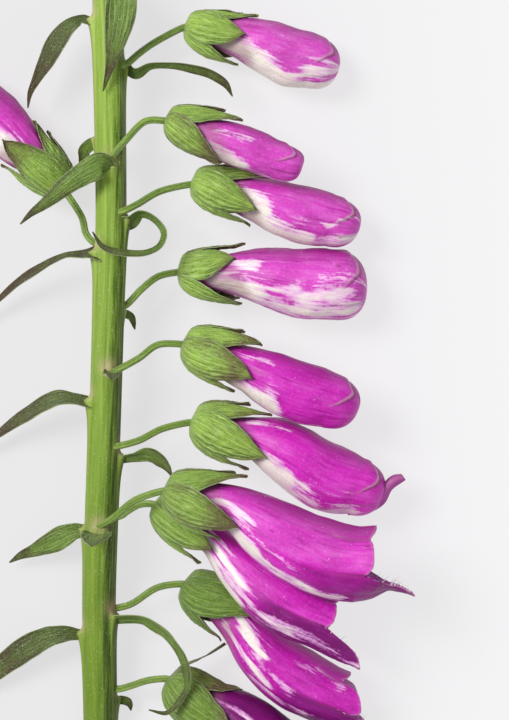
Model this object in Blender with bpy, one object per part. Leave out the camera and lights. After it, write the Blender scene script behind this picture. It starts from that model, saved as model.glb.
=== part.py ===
"""Cut foxglove flower spike lying on a table.

Lengths are in millimetres and angles in degrees until the last step, which moves the
whole spike onto the origin and scales it to metres. +Y runs up the stem, +X to the side
that the flowers hang towards, +Z up from the table. `h` is the height along the stem.
"""

import math

import bmesh
import bpy
import numpy as np

MM = 0.001
GAP = 0.35  # clear space between neighbouring pieces
BRACT_GAP = 0.7  # the same at a bract's foot, which is wide and stands at a slant

# Stem: height, sideways position, height over the table, half width
STEM = (
    (-18, 19.6, 3.0, 3.2), (5, 19.5, 5.1, 3.2), (20, 19.4, 6.8, 3.15), (40, 20.0, 8.6, 3.15),
    (60, 20.9, 10.0, 3.1), (80, 21.6, 10.8, 3.1), (100, 22.2, 11.0, 3.1), (120, 22.0, 10.6, 3.1),
    (144, 21.4, 9.6, 3.0), (160, 20.6, 8.4, 2.6), (178, 19.2, 6.9, 1.9), (194, 17.2, 5.8, 1.1),
)
STEM_RINGS = 30
STEM_SIDES = 16
STEM_DEPTH = 0.93  # depth of the stem over its width
RIDGE_HEIGHT = 0.4
RIDGE_RUN = 14.0  # length of the ridge that each bract leaves below it

# Bracts: where each starts on the stem (height, side angle, half width), how far its blade
# is rolled at the start and at the tip, then x, y, z and half width along its middle.
# Side angles: 0 right, 90 towards +Z, 180 left, 270 towards the table.
BRACTS = {
    "bract_01": ((148.5, 90, 1.6), (0, 0), (
        (23.2, 147.0, 14.2, 2.9), (24.5, 143.6, 15.2, 3.1), (24.2, 138.6, 15.6, 2.8),
        (23.3, 134.2, 15.6, 2.0), (22.5, 130.6, 15.2, 1.1), (20.9, 125.3, 14.4, 0.12))),
    "bract_02": ((139.8, 175, 0.9), (35, 20), (
        (16.2, 140.2, 9.4, 1.1), (14.2, 139.2, 9.4, 1.6), (12.0, 136.9, 9.2, 2.1),
        (9.8, 133.2, 8.8, 1.9), (7.5, 129.2, 8.2, 1.2), (5.8, 126.0, 7.8, 0.6),
        (5.2, 122.8, 7.6, 0.12))),
    "bract_03": ((131.0, -30, 0.9), (60, 30), (
        (27.2, 129.6, 9.8, 0.9), (30.0, 130.9, 10.2, 0.6), (34.0, 131.1, 10.2, 0.55),
        (38.0, 130.6, 10.0, 0.8), (42.0, 129.5, 9.6, 0.8), (45.0, 127.6, 9.2, 0.7),
        (46.5, 125.0, 8.8, 0.12))),
    "bract_04": ((115.8, 215, 1.3), (20, 0), (
        (16.8, 114.6, 6.6, 1.3), (16.3, 112.6, 5.6, 1.0), (16.0, 110.2, 4.6, 0.7),
        (15.9, 107.4, 3.6, 0.12))),
    "bract_05": ((109.8, 90, 1.6), (0, 10), (
        (20.8, 110.6, 16.4, 2.5), (18.6, 109.6, 17.0, 2.6), (15.6, 107.8, 16.8, 2.2),
        (12.6, 105.6, 16.0, 1.8), (9.6, 103.2, 15.0, 1.2), (6.8, 101.3, 14.2, 0.7),
        (4.3, 99.0, 13.4, 0.12))),
    "bract_06": ((99.8, 5, 1.3), (50, 50), (
        (28.2, 101.3, 12.2, 0.75), (31.0, 100.1, 13.0, 0.6), (33.0, 97.4, 14.0, 0.65),
        (32.2, 94.6, 15.2, 0.6), (29.6, 93.1, 16.4, 0.6), (26.0, 92.9, 17.0, 0.7),
        (22.8, 93.3, 17.2, 0.7), (20.6, 94.5, 16.8, 0.5), (18.9, 97.3, 16.2, 0.12))),
    "bract_07": ((93.0, 165, 1.3), (55, 40), (
        (16.4, 93.0, 11.0, 0.9), (13.4, 93.0, 10.4, 0.6), (10.2, 91.8, 9.2, 0.7),
        (6.6, 89.7, 7.6, 0.9), (2.8, 87.3, 5.8, 0.85), (-1.0, 84.3, 4.0, 0.6),
        (-6.0, 79.4, 2.0, 0.12))),
    "bract_08": ((81.4, -45, 0.9), (0, 0), (
        (25.8, 80.9, 7.2, 0.8), (26.3, 79.8, 5.9, 0.6), (26.6, 78.2, 4.6, 0.12))),
    "bract_09": ((68.6, 82, 1.3), (0, 0), (
        (22.4, 69.2, 15.4, 1.5), (23.0, 68.9, 18.2, 1.4), (23.2, 68.5, 21.2, 1.0),
        (23.2, 68.2, 24.0, 0.12))),
    "bract_10": ((63.4, 172, 1.1), (50, 40), (
        (14.6, 64.0, 10.4, 1.1), (11.6, 64.0, 9.6, 1.5), (8.6, 62.9, 8.4, 1.6),
        (5.2, 61.1, 6.8, 1.5), (1.8, 58.9, 5.2, 1.1), (-2.2, 56.0, 3.6, 0.7),
        (-6.6, 52.4, 1.8, 0.12))),
    "bract_11": ((52.2, 0, 0.9), (40, 20), (
        (27.2, 52.7, 10.6, 1.0), (29.8, 53.2, 12.6, 1.4), (32.0, 52.3, 13.4, 1.3),
        (33.6, 50.8, 14.0, 0.8), (34.6, 48.8, 14.4, 0.12))),
    "bract_12": ((37.4, 200, 1.4), (20, 10), (
        (14.4, 37.2, 6.6, 1.8), (11.8, 36.0, 5.8, 2.3), (9.0, 34.6, 5.0, 2.0),
        (6.2, 33.3, 4.2, 1.4), (3.4, 32.2, 3.4, 0.8), (0.8, 30.6, 2.4, 0.12))),
    "bract_13": ((37.0, 90, 2.2), (0, 0), (
        (19.7, 37.2, 14.8, 2.8), (19.6, 36.9, 17.6, 2.9), (19.5, 36.5, 20.4, 2.2),
        (19.5, 36.2, 23.4, 1.2), (19.6, 36.0, 25.6, 0.12))),
    "bract_14": ((20.0, 20, 1.0), (45, 45), (
        (27.6, 20.3, 10.6, 0.95), (30.4, 19.5, 12.4, 1.1), (32.8, 18.1, 13.8, 0.9),
        (34.9, 16.0, 14.8, 0.75), (36.6, 13.4, 15.2, 0.85), (37.6, 10.2, 15.2, 0.8),
        (37.4, 6.8, 15.0, 0.45), (35.8, 4.0, 14.8, 0.6), (33.4, 2.0, 14.6, 0.4),
        (29.9, 2.6, 14.4, 0.12))),
    "bract_15": ((16.4, 178, 1.1), (30, 10), (
        (13.6, 16.6, 6.8, 1.4), (11.0, 16.3, 6.6, 1.8), (8.2, 15.4, 6.0, 2.2),
        (4.8, 13.6, 5.2, 2.4), (1.2, 11.0, 4.2, 2.3), (-2.6, 8.0, 3.2, 1.8),
        (-6.2, 4.9, 2.2, 1.1), (-9.4, 1.6, 1.4, 0.12))),
    "bract_16": ((2.6, -30, 0.9), (0, 0), (
        (24.6, 2.6, 3.4, 0.9), (25.4, 1.8, 2.9, 0.7), (25.7, 0.4, 2.5, 0.12))),
}
BRACT_THICKNESS = 0.7
BRACT_FOLD = 0.22  # how far the edges rise over the midrib, as a part of the half width

# Flowers. start: height and side angle on the stem. stalk: x, y along the stalk.
# base: x, y, z where the calyx begins. aim: degrees in the table's plane, out of it, and
# turned about the flower's own axis. sepals: lengths, first the upper one, then round.
# tube: distance from the calyx base, upper edge, lower edge. A closed tube ends in `tip`,
# an open one in a mouth with a lip that runs through the points of `lip`.
FLOWERS = {
    "01": dict(start=(131.0, 15), stalk=((27.9, 133.6), (31.0, 136.2)),
               base=(36.5, 138.2, 6.35), aim=(-14, -2, 0), calyx=0.88,
               sepals=(10.5, 13.8, 12.5, 12.5, 13.5),
               tube=((2.4, 1.7, -1.5), (8, 3.9, -2.6), (13, 5.3, -3.8), (18, 5.8, -5.4),
                     (23, 5.5, -5.9), (27, 5.2, -5.3), (30, 3.8, -3.7), (31.5, 2.1, -1.9)),
               tip=(32.2, 0.2)),
    "02": dict(start=(111.9, 88), stalk=((25.2, 115.4), (29.0, 119.2)),
               base=(33.0, 120.0, 14.4), aim=(-18, 0, 0), calyx=0.85,
               sepals=(10.7, 14.5, 13.4, 13.0, 14.0),
               tube=((2.4, 1.8, -1.8), (8, 3.2, -3.2), (14, 4.0, -4.4), (19, 3.6, -4.4),
                     (23.5, 2.8, -4.2), (27, 2.2, -3.8), (28.6, 1.6, -3.0)),
               tip=(29.2, -0.6)),
    "03": dict(start=(101.6, 40), stalk=((27.8, 103.2), (32.0, 105.8)),
               base=(38.0, 107.2, 9.4), aim=(-13, -2, 0), calyx=0.9,
               sepals=(11.0, 15.2, 13.8, 13.6, 14.5),
               tube=((2.4, 1.7, -1.6), (8, 3.6, -2.8), (14, 4.6, -4.6), (19, 4.9, -6.1),
                     (24, 4.7, -6.6), (29, 4.2, -5.9), (32.5, 3.2, -4.1), (34.3, 1.8, -2.3)),
               tip=(35.2, -0.3)),
    "04": dict(start=(95.4, 195), stalk=((17.0, 97.6), (16.0, 101.0)),
               base=(12.8, 105.8, 6.8), aim=(135, -3, 0), calyx=0.9, mirrored=True,
               sepals=(12.0, 14.8, 15.7, 13.5, 14.0),
               tube=((2.4, 1.7, -1.6), (8, 3.8, -3.0), (13, 5.1, -4.4), (18, 5.8, -5.4),
                     (23, 5.7, -5.8), (27, 5.1, -5.2), (30, 3.8, -3.8), (31.6, 2.0, -2.0)),
               tip=(32.4, 0.0)),
    "05": dict(start=(82.8, -20), stalk=((28.2, 86.2), (31.4, 88.8)),
               base=(35.3, 89.7, 6.6), aim=(-5, 0, 0), calyx=0.95,
               sepals=(12.0, 11.5, 13.6, 13.0, 14.3),
               tube=((2.4, 2.0, -1.6), (8, 4.1, -2.9), (13, 5.5, -3.8), (18, 6.5, -5.5),
                     (24, 6.8, -6.5), (30, 7.0, -6.5), (34, 6.6, -5.8), (36.8, 4.1, -4.4)),
               tip=(38.5, -0.8)),
    "06": dict(start=(69.6, 62), stalk=((27.8, 72.3), (31.6, 75.0)),
               base=(36.2, 76.4, 12.6), aim=(-20, 2, 0), calyx=1.0,
               sepals=(10.4, 15.9, 16.5, 13.0, 15.0),
               tube=((2.4, 2.0, -2.0), (8, 3.6, -3.7), (13, 4.3, -5.1), (18, 4.9, -7.2),
                     (24, 4.9, -8.4), (30, 4.8, -8.0), (33.8, 4.4, -6.6), (36.6, 2.2, -4.2)),
               tip=(38.1, -0.9)),
    "07": dict(start=(54.8, 30), stalk=((28.0, 56.0), (32.4, 58.2)),
               base=(38.0, 59.0, 9.6), aim=(-17, 0, 0), calyx=1.05,
               sepals=(9.7, 14.7, 16.3, 13.8, 14.5),
               tube=((2.4, 1.9, -1.7), (8, 3.6, -2.6), (12.5, 4.9, -3.0), (17, 6.1, -5.2),
                     (23, 5.6, -7.9), (29, 4.3, -9.3), (34, 3.4, -8.8), (38, 2.4, -7.0),
                     (40.4, 0.6, -5.2)),
               tip=(44.2, 2.0)),
    "08": dict(start=(40.4, -5), stalk=((25.2, 41.5), (27.8, 43.0)),
               base=(30.6, 43.1, 11.4), aim=(-31, 5, 12), calyx=0.95,
               sepals=(10.0, 14.0, 15.4, 14.3, 14.0),
               tube=((2.4, 1.9, -1.6), (8, 3.4, -2.4), (13, 3.6, -2.6), (19, 3.4, -5.6),
                     (25, 3.2, -7.9), (31, 3.2, -9.1), (37, 3.4, -8.8), (42.2, 3.6, -7.4)),
               lip=((45.0, -7.4), (48.5, -7.0), (52.0, -6.6)), lobe=1.6, flare=0.6),
    "09": dict(start=(39.0, 84), stalk=((22.8, 40.6), (27.4, 44.4)),
               base=(32.8, 45.4, 20.5), aim=(-17, 1.5, 0), calyx=1.05,
               sepals=(11.3, 14.7, 15.8, 13.5, 15.6),
               tube=((2.4, 2.0, -1.7), (8, 4.5, -2.4), (13, 5.6, -2.9), (19, 5.9, -6.4),
                     (25, 5.6, -8.9), (31, 5.0, -10.0), (37, 5.3, -10.3), (42.4, 6.2, -9.2)),
               lip=((45.6, -7.4), (48.6, -5.0), (53.8, -4.8)), lobe=1.8, flare=0.8),
    "10": dict(start=(21.8, -5), stalk=((26.4, 22.9), (31.2, 26.0)),
               base=(36.3, 27.0, 7.6), aim=(-31, 0, 0), calyx=1.0,
               sepals=(9.0, 12.0, 17.0, 12.6, 13.0),
               tube=((2.4, 2.0, -1.8), (8, 3.8, -3.0), (13, 3.6, -5.0), (18, 2.6, -8.0),
                     (24, 1.9, -10.1), (30, 2.1, -10.8), (35, 1.9, -10.4), (40.0, 2.4, -9.2)),
               lip=((43.4, -8.6), (47.0, -7.6), (51.0, -7.4)), lobe=2.4, flare=0.9),
    "11": dict(start=(5.2, 5), stalk=((25.8, 6.0), (29.4, 7.3)),
               base=(33.3, 7.6, 8.0), aim=(-37, 0, 0), calyx=1.08,
               sepals=(10.0, 13.0, 16.0, 13.0, 13.5),
               tube=((2.4, 2.1, -1.9), (8, 4.6, -3.0), (13, 7.2, -4.0), (18, 8.3, -5.2),
                     (24, 8.4, -6.2), (30, 8.0, -6.8), (36, 7.6, -7.2), (41.5, 7.8, -6.8)),
               lip=((45.0, -6.2), (48.8, -4.8), (53.0, -4.6)), lobe=2.2, flare=0.9),
}
TUBE_WALL = 0.7
TUBE_WIDTH = 0.97  # half width of a tube over half its height

# Calyx outline: distance from its base, upper edge, lower edge. The five sepals are
# centred on the even entries of COLUMNS that have SEPAL_AT in them.
CALYX_U = (0.0, 0.8, 2.5, 5.0, 8.0, 12.0, 17.0)
CALYX_UPPER = (1.2, 2.9, 4.4, 5.2, 5.6, 5.9, 6.1)
CALYX_LOWER = (-1.2, -2.1, -2.7, -3.1, -3.5, -3.9, -4.2)
CALYX_WALL = 0.7
SEPAL_AT = (0, 62, 130, 230, 298)
COLUMNS = (-28, -14, 0, 14, 28, 45, 62, 79, 96, 113, 130, 155, 180, 205, 230, 247, 264, 281,
           298, 315)
RIM = {0: 0.5, 1: 0.82, 2: 1.0, 3: 0.82}  # rim length from one sepal's side to the next
STALK_RADIUS = 0.75

# Young buds and bracts near the top: height, side angle, length
TIP_BUDS = ((152.6, 88, 12.5), (154.5, 15, 14.0), (160.0, 165, 13.0), (166.0, 75, 11.5),
            (171.5, 0, 10.5), (176.5, 185, 9.5), (182.0, 95, 8.0), (186.5, 10, 7.0))
TIP_BRACTS = ((152.6, 5, 12.0), (158.0, 175, 11.0), (164.4, 80, 10.0), (169.6, -10, 8.5),
              (174.8, 190, 7.5), (180.2, 85, 6.5), (185.0, 0, 5.5))

# Finishes: colour and roughness
STEM_GREEN = ((0.21, 0.31, 0.05), 0.6)
LEAF_GREEN = ((0.13, 0.19, 0.03), 0.65)
CALYX_GREEN = ((0.25, 0.38, 0.08), 0.6)
MAGENTA = ((0.58, 0.05, 0.44), 0.45)
STYLE_CREAM = ((0.80, 0.72, 0.66), 0.5)
BUD_GREEN = ((0.30, 0.42, 0.12), 0.6)


def rad(degrees):
    return math.radians(degrees)


def smooth_at(xs, ys, x):
    """Value at x of a smooth curve through the points xs, ys."""
    xs = np.asarray(xs, float)
    ys = np.asarray(ys, float)
    slopes = np.gradient(ys, xs)
    x = np.clip(x, xs[0], xs[-1])
    i = np.clip(np.searchsorted(xs, x, side="right") - 1, 0, len(xs) - 2)
    step = xs[i + 1] - xs[i]
    t = (x - xs[i]) / step
    rise = ys[i] * (1 + 2 * t) * (1 - t) ** 2 + ys[i + 1] * t * t * (3 - 2 * t)
    return rise + step * t * (1 - t) * (slopes[i] * (1 - t) - slopes[i + 1] * t)


def smooth_path(points, count):
    """`count` samples along a smooth curve through rows of numbers."""
    points = np.asarray(points, float)
    knots = np.arange(len(points))
    at = np.linspace(0, len(points) - 1, count)
    return np.stack([smooth_at(knots, column, at) for column in points.T], axis=1)


def unit(vector):
    return vector / np.linalg.norm(vector)


def tangents(path):
    return np.array([unit(step) for step in np.gradient(path, axis=0)])


# Building closed bodies from rings of points


class Body:
    """Points and faces of one closed body."""

    def __init__(self):
        self.points = []
        self.faces = []

    def ring(self, points):
        first = len(self.points)
        self.points.extend(points)
        return list(range(first, len(self.points)))

    def join(self, a, b):
        """Quads between two rings of the same count."""
        n = len(a)
        for i in range(n):
            self.faces.append((a[i], a[(i + 1) % n], b[(i + 1) % n], b[i]))

    def join_double(self, few, many):
        """Triangles from a ring to one with twice its points."""
        n = len(few)
        for i in range(n):
            left, right = few[i], few[(i + 1) % n]
            a, b, c = many[2 * i], many[2 * i + 1], many[(2 * i + 2) % (2 * n)]
            self.faces += [(left, b, a), (left, right, b), (right, c, b)]

    def close(self, ring, centre):
        """A fan from a ring to one point."""
        middle = self.ring([centre])[0]
        for i in range(len(ring)):
            self.faces.append((ring[i], ring[(i + 1) % len(ring)], middle))

    def build(self, name, finish):
        mesh = bpy.data.meshes.new(name)
        mesh.from_pydata([tuple(p) for p in self.points], [], self.faces)
        shaped = bmesh.new()
        shaped.from_mesh(mesh)
        bmesh.ops.triangulate(shaped, faces=shaped.faces[:])
        bmesh.ops.recalc_face_normals(shaped, faces=shaped.faces[:])
        if shaped.calc_volume(signed=True) < 0:
            bmesh.ops.reverse_faces(shaped, faces=shaped.faces[:])
        shaped.to_mesh(mesh)
        shaped.free()
        mesh.polygons.foreach_set("use_smooth", [True] * len(mesh.polygons))
        mesh.materials.append(material(name, finish))
        made = bpy.data.objects.new(name, mesh)
        bpy.context.scene.collection.objects.link(made)
        return made


def material(name, finish):
    colour, roughness = finish
    made = bpy.data.materials.new(name + "_finish")
    made.use_nodes = True
    shader = made.node_tree.nodes["Principled BSDF"]
    shader.inputs["Base Color"].default_value = (*colour, 1.0)
    shader.inputs["Roughness"].default_value = roughness
    shader.inputs["Metallic"].default_value = 0.0
    return made


# Stem


def stem_row(h):
    """Centre and half width of the stem at height h."""
    table = np.array(STEM, float)
    x, z, r = (smooth_at(table[:, 0], table[:, i], h) for i in (1, 2, 3))
    return np.array([x, h, z]), r


def stem_radius(h, angle):
    """Half width towards one side, with the ridges that run down from the bracts."""
    _, r = stem_row(h)
    r = r * (1 - (1 - STEM_DEPTH) * math.sin(rad(angle)) ** 2)
    rise = 0.0
    for (start, side, _), _, _ in BRACTS.values():
        below = start - h
        away = abs((angle - side + 180) % 360 - 180)
        if -1.5 < below < RIDGE_RUN and away < 40:
            fade = 1 - below / RIDGE_RUN if below > 0 else 1 + below / 1.5
            rise = max(rise, fade * math.cos(rad(away * 90 / 40)))
    return r + RIDGE_HEIGHT * rise


def stem_seat(h, angle, gap):
    """Point just off the stem's side, and the direction that faces away from the stem."""
    centre, _ = stem_row(h)
    away = np.array([math.cos(rad(angle)), 0.0, math.sin(rad(angle))])
    return centre + away * (stem_radius(h, angle) + gap), away


def build_stem():
    body = Body()
    heights = np.linspace(STEM[0][0], STEM[-1][0], STEM_RINGS)
    rings = []
    for h in heights:
        centre, _ = stem_row(h)
        ring = []
        for i in range(STEM_SIDES):
            angle = 360 * i / STEM_SIDES
            r = stem_radius(h, angle)
            ring.append(centre + r * np.array([math.cos(rad(angle)), 0, math.sin(rad(angle))]))
        rings.append(body.ring(ring))
    for a, b in zip(rings, rings[1:]):
        body.join(a, b)
    body.close(rings[0], stem_row(heights[0])[0])
    body.close(rings[-1], stem_row(heights[-1])[0] + np.array([0, 0.6, 0]))
    body.build("stem", STEM_GREEN)


# Bracts


def blade_frames(path, roll):
    """Across and upward directions of a blade at each sample of its middle line."""
    frames = []
    for i, along in enumerate(tangents(path)):
        across = np.cross(np.array([0, 0, 1.0]), along)
        if np.linalg.norm(across) < 0.45:
            across = np.array([1.0, 0, 0]) - along * along[0]
        across = unit(across)
        if frames and across @ frames[-1][2] < 0:
            across = -across
        up = np.cross(along, across)
        turn = rad(roll[0] + (roll[1] - roll[0]) * i / (len(path) - 1))
        frames.append((across * math.cos(turn) + up * math.sin(turn),
                       up * math.cos(turn) - across * math.sin(turn), across))
    return [(a, b) for a, b, _ in frames]


def build_blade(name, rows, roll, finish, samples):
    """A thin leaf along rows of x, y, z, visible half width."""
    rows = smooth_path(rows, samples)
    path = rows[:, :3]
    body = Body()
    rings = []
    for i, (across, up) in enumerate(blade_frames(path, roll)):
        turn = rad(roll[0] + (roll[1] - roll[0]) * i / (samples - 1))
        half = max(rows[i, 3], 0.1) / max(math.cos(turn), 0.5)
        thick = min(BRACT_THICKNESS, 0.9 * half + 0.1) / 2
        ring = []
        for side, level in ((1, 0), (0.4, 1), (-0.4, 1), (-1, 0), (-0.4, -1), (0.4, -1)):
            lift = BRACT_FOLD * half * abs(side) + thick * level
            ring.append(path[i] + across * side * half + up * lift)
        rings.append(body.ring(ring))
    for a, b in zip(rings, rings[1:]):
        body.join(a, b)
    body.close(rings[0], np.mean([body.points[i] for i in rings[0]], axis=0))
    body.close(rings[-1], np.mean([body.points[i] for i in rings[-1]], axis=0))
    body.build(name, finish)


def build_bract(name):
    (h, side, half), roll, middle = BRACTS[name]
    start, away = stem_seat(h, side, BRACT_GAP)
    rows = [(*start, half), *middle]
    build_blade(name, rows, roll, LEAF_GREEN, len(rows) + 2)


# Flowers


class Flower:
    """One flower's place, its own axes and its outline."""

    def __init__(self, key):
        self.key = key
        self.row = FLOWERS[key]
        pitch, yaw, roll = (rad(a) for a in self.row["aim"])
        flip = -1.0 if self.row.get("mirrored") else 1.0
        self.base = np.array(self.row["base"], float)
        self.along = np.array([math.cos(pitch) * math.cos(yaw),
                               math.sin(pitch) * math.cos(yaw), math.sin(yaw)])
        upper = flip * np.array([-math.sin(pitch), math.cos(pitch), 0.0])
        side = flip * unit(np.cross(self.along, upper))
        self.upper = upper * math.cos(roll) + side * math.sin(roll)
        self.side = side * math.cos(roll) - upper * math.sin(roll)
        self.tube = np.array(self.row["tube"], float)
        self.open = "lip" in self.row

    def place(self, u, v, w):
        return self.base + self.along * u + self.upper * v + self.side * w

    def tube_section(self, u):
        """Upper edge, lower edge and half width of the petal tube."""
        top = smooth_at(self.tube[:, 0], self.tube[:, 1], u)
        bottom = smooth_at(self.tube[:, 0], self.tube[:, 2], u)
        return top, bottom, TUBE_WIDTH * (top - bottom) / 2

    def calyx_section(self, u):
        """Outer upper edge, lower edge and half width of the calyx, clear of the tube."""
        scale = self.row["calyx"]
        top = scale * smooth_at(CALYX_U, CALYX_UPPER, u)
        bottom = scale * smooth_at(CALYX_U, CALYX_LOWER, u)
        half = 0.92 * (top - bottom) / 2
        if u > self.tube[0, 0] - 0.5:
            over = GAP + 0.1 + CALYX_WALL
            tube_top, tube_bottom, tube_half = self.tube_section(u)
            top = max(top, tube_top + over)
            bottom = min(bottom, tube_bottom - over)
            half = max(half, tube_half + over)
        return top, bottom, half

    def around(self, u, section, angle, inset=0.0, lift=0.0):
        top, bottom, half = section
        high = (top - bottom) / 2 - inset + lift
        v = (top + bottom) / 2 + high * math.cos(rad(angle))
        return self.place(u, v, (half - inset + lift) * math.sin(rad(angle)))


def stalk_rings(body, flower):
    """Rings up the flower stalk, turned so that the last one matches the calyx."""
    h, side = flower.row["start"]
    start, away = stem_seat(h, side, GAP)
    first = start + away * 0.9
    marks = flower.row["stalk"]
    rows = [start, first]
    for i, (x, y) in enumerate(marks):
        share = (i + 1) / (len(marks) + 1)
        share = share * share * (3 - 2 * share)
        rows.append(np.array([x, y, first[2] + (flower.base[2] - first[2]) * share]))
    rows.append(flower.base)
    path = smooth_path(rows, 7)
    along = tangents(path)
    along[0] = away
    upper = flower.upper
    rings = []
    for i in range(len(path) - 1, -1, -1):
        upper = unit(upper - along[i] * (upper @ along[i]))
        across = np.cross(along[i], upper)
        if across @ flower.side < 0:
            across = -across
        radius = STALK_RADIUS * (1.3 if i == len(path) - 1 else 1.0)
        ring = []
        for angle in COLUMNS[::2]:
            ring.append(path[i] + radius * (upper * math.cos(rad(angle))
                                            + across * math.sin(rad(angle))))
        rings.append(body.ring(ring))
    for a, b in zip(rings, rings[1:]):
        body.join(a, b)
    body.close(rings[-1], path[0])
    return rings[0]


def calyx_lengths(flower):
    """Rim length and outward lean of each column round the calyx."""
    sepals = flower.row["sepals"]
    rows = []
    for i in range(len(COLUMNS)):
        own = (i // 4) % 5
        length = sepals[own]
        if i % 4 == 0:
            length = min(length, sepals[own - 1])
        lean = 0.9 if own == 0 and i % 4 else 0.15
        rows.append((length * RIM[i % 4], lean))
    return rows


def build_calyx(flower):
    body = Body()
    stalk_end = stalk_rings(body, flower)
    rims = calyx_lengths(flower)
    steps = (0.0, 0.16, 0.4, 0.7, 1.0)

    def level(share, inset):
        ring = []
        for angle, (length, lean) in zip(COLUMNS, rims):
            u = 0.5 + (length - 0.5) * share
            section = flower.calyx_section(u)
            ring.append(flower.around(u, section, angle, inset, lean * share * share))
        return body.ring(ring)

    outer = [level(share, 0.0) for share in steps]
    inner = [level(share, CALYX_WALL) for share in (1.0, 0.5)]
    floor_at = 1.7
    plug = body.ring([flower.around(floor_at, flower.calyx_section(floor_at), angle,
                                    CALYX_WALL) for angle in COLUMNS])
    body.join_double(stalk_end, outer[0])
    for a, b in zip(outer, outer[1:]):
        body.join(a, b)
    body.join(outer[-1], inner[0])
    body.join(inner[0], inner[1])
    body.join(inner[1], plug)
    body.close(plug, flower.place(floor_at, 0.4, 0))
    body.build("calyx_" + flower.key, CALYX_GREEN)


def build_closed_tube(flower):
    body = Body()
    rings = []
    for u in flower.tube[:, 0]:
        section = flower.tube_section(u)
        rings.append(body.ring([flower.around(u, section, 360 * i / 12) for i in range(12)]))
    for a, b in zip(rings, rings[1:]):
        body.join(a, b)
    top, bottom, _ = flower.tube_section(flower.tube[0, 0])
    body.close(rings[0], flower.place(flower.tube[0, 0], (top + bottom) / 2, 0))
    tip_u, tip_v = flower.row["tip"]
    body.close(rings[-1], flower.place(tip_u, tip_v, 0))
    body.build("corolla_" + flower.key, MAGENTA)


def lobe_reach(angle):
    """How far each petal's free end stands past the mouth: upper, side and between."""
    away = abs((angle + 180) % 360 - 180)
    marks = (0, 22.5, 45, 67.5, 90, 112.5, 135, 180)
    return np.interp(away, marks, (0.35, 0.6, 0.5, 0.1, 0.9, 1.0, 0.25, 0.25))


def bell_columns(flower, sides):
    """Rows of points on the outside of an open tube, from its base to the petal ends."""
    last = flower.tube[-1]
    lip = np.array(flower.row["lip"]) - np.array([last[0], last[2]])
    lobe, flare = flower.row["lobe"], flower.row["flare"]
    rows = []
    for u in flower.tube[:, 0]:
        section = flower.tube_section(u)
        rows.append([flower.around(u, section, 360 * i / sides) for i in range(sides)])
    top, bottom, half = flower.tube_section(last[0])
    for k in range(3):
        share = (k + 1) / 3
        ring = []
        for i in range(sides):
            angle = 360 * i / sides
            away = abs((angle + 180) % 360 - 180)
            high = (top - bottom) / 2 + flare * share * share
            v = (top + bottom) / 2 + high * math.cos(rad(angle))
            w = (half + flare * share * share) * math.sin(rad(angle))
            u = last[0] + lobe * lobe_reach(angle) * share
            if away > 146:
                own = 1.0 if away > 170 else 0.72
                u = last[0] + lip[k, 0] * own
                v = bottom + lip[k, 1] * own + (0 if away > 170 else 0.9)
                w = w * (1.25 - 0.3 * share)
            ring.append(flower.place(u, v, w))
        rows.append(ring)
    return np.array(rows)


def build_open_tube(flower):
    sides = 16
    grid = bell_columns(flower, sides)
    centres = grid.mean(axis=1, keepdims=True)
    back, ahead = np.roll(grid, 1, axis=1), np.roll(grid, -1, axis=1)
    normals = np.cross(np.gradient(grid, axis=0), ahead - back)
    normals /= np.linalg.norm(normals, axis=2, keepdims=True)
    body_rows = len(flower.tube)
    facing = np.sum(normals[:body_rows] * (grid - centres)[:body_rows])
    normals *= 1.0 if facing > 0 else -1.0
    inner = grid - normals * TUBE_WALL
    body = Body()
    outside = [body.ring(list(row)) for row in grid]
    inside = [body.ring(list(row)) for row in inner[2:]]
    for a, b in zip(outside, outside[1:]):
        body.join(a, b)
    body.join(outside[-1], inside[-1])
    for a, b in zip(inside, inside[1:]):
        body.join(a, b)
    body.close(outside[0], centres[0, 0])
    body.close(inside[0], centres[2, 0] - flower.along * 0.5)
    body.build("corolla_" + flower.key, MAGENTA)


def build_pistil(flower):
    """The style along the tube's upper wall, thicker at the ovary and at the tip."""
    body = Body()
    start = flower.tube[2, 0] + 0.8
    end = flower.tube[-1, 0] - 3.0
    rings = []
    for share, radius in ((0, 1.0), (0.12, 0.8), (0.25, 0.45), (0.5, 0.4), (0.75, 0.4),
                          (0.93, 0.45), (1.0, 0.3)):
        u = start + (end - start) * share
        top, _, _ = flower.tube_section(u)
        v = top - TUBE_WALL - 1.7 - 0.4 * share
        ring = []
        for i in range(6):
            angle = rad(60 * i)
            ring.append(flower.place(u, v + radius * math.cos(angle), radius * math.sin(angle)))
        rings.append(body.ring(ring))
    for a, b in zip(rings, rings[1:]):
        body.join(a, b)
    for ring in (rings[0], rings[-1]):
        body.close(ring, np.mean([body.points[i] for i in ring], axis=0))
    body.build("pistil_" + flower.key, STYLE_CREAM)


# Young tip


def tip_direction(h, side, rise):
    away = np.array([math.cos(rad(side)), 0.0, math.sin(rad(side))])
    centre, _ = stem_row(h)
    above, _ = stem_row(h + 3)
    along = unit(above - centre)
    return unit(away * math.cos(rad(rise)) + along * math.sin(rad(rise)))


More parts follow.
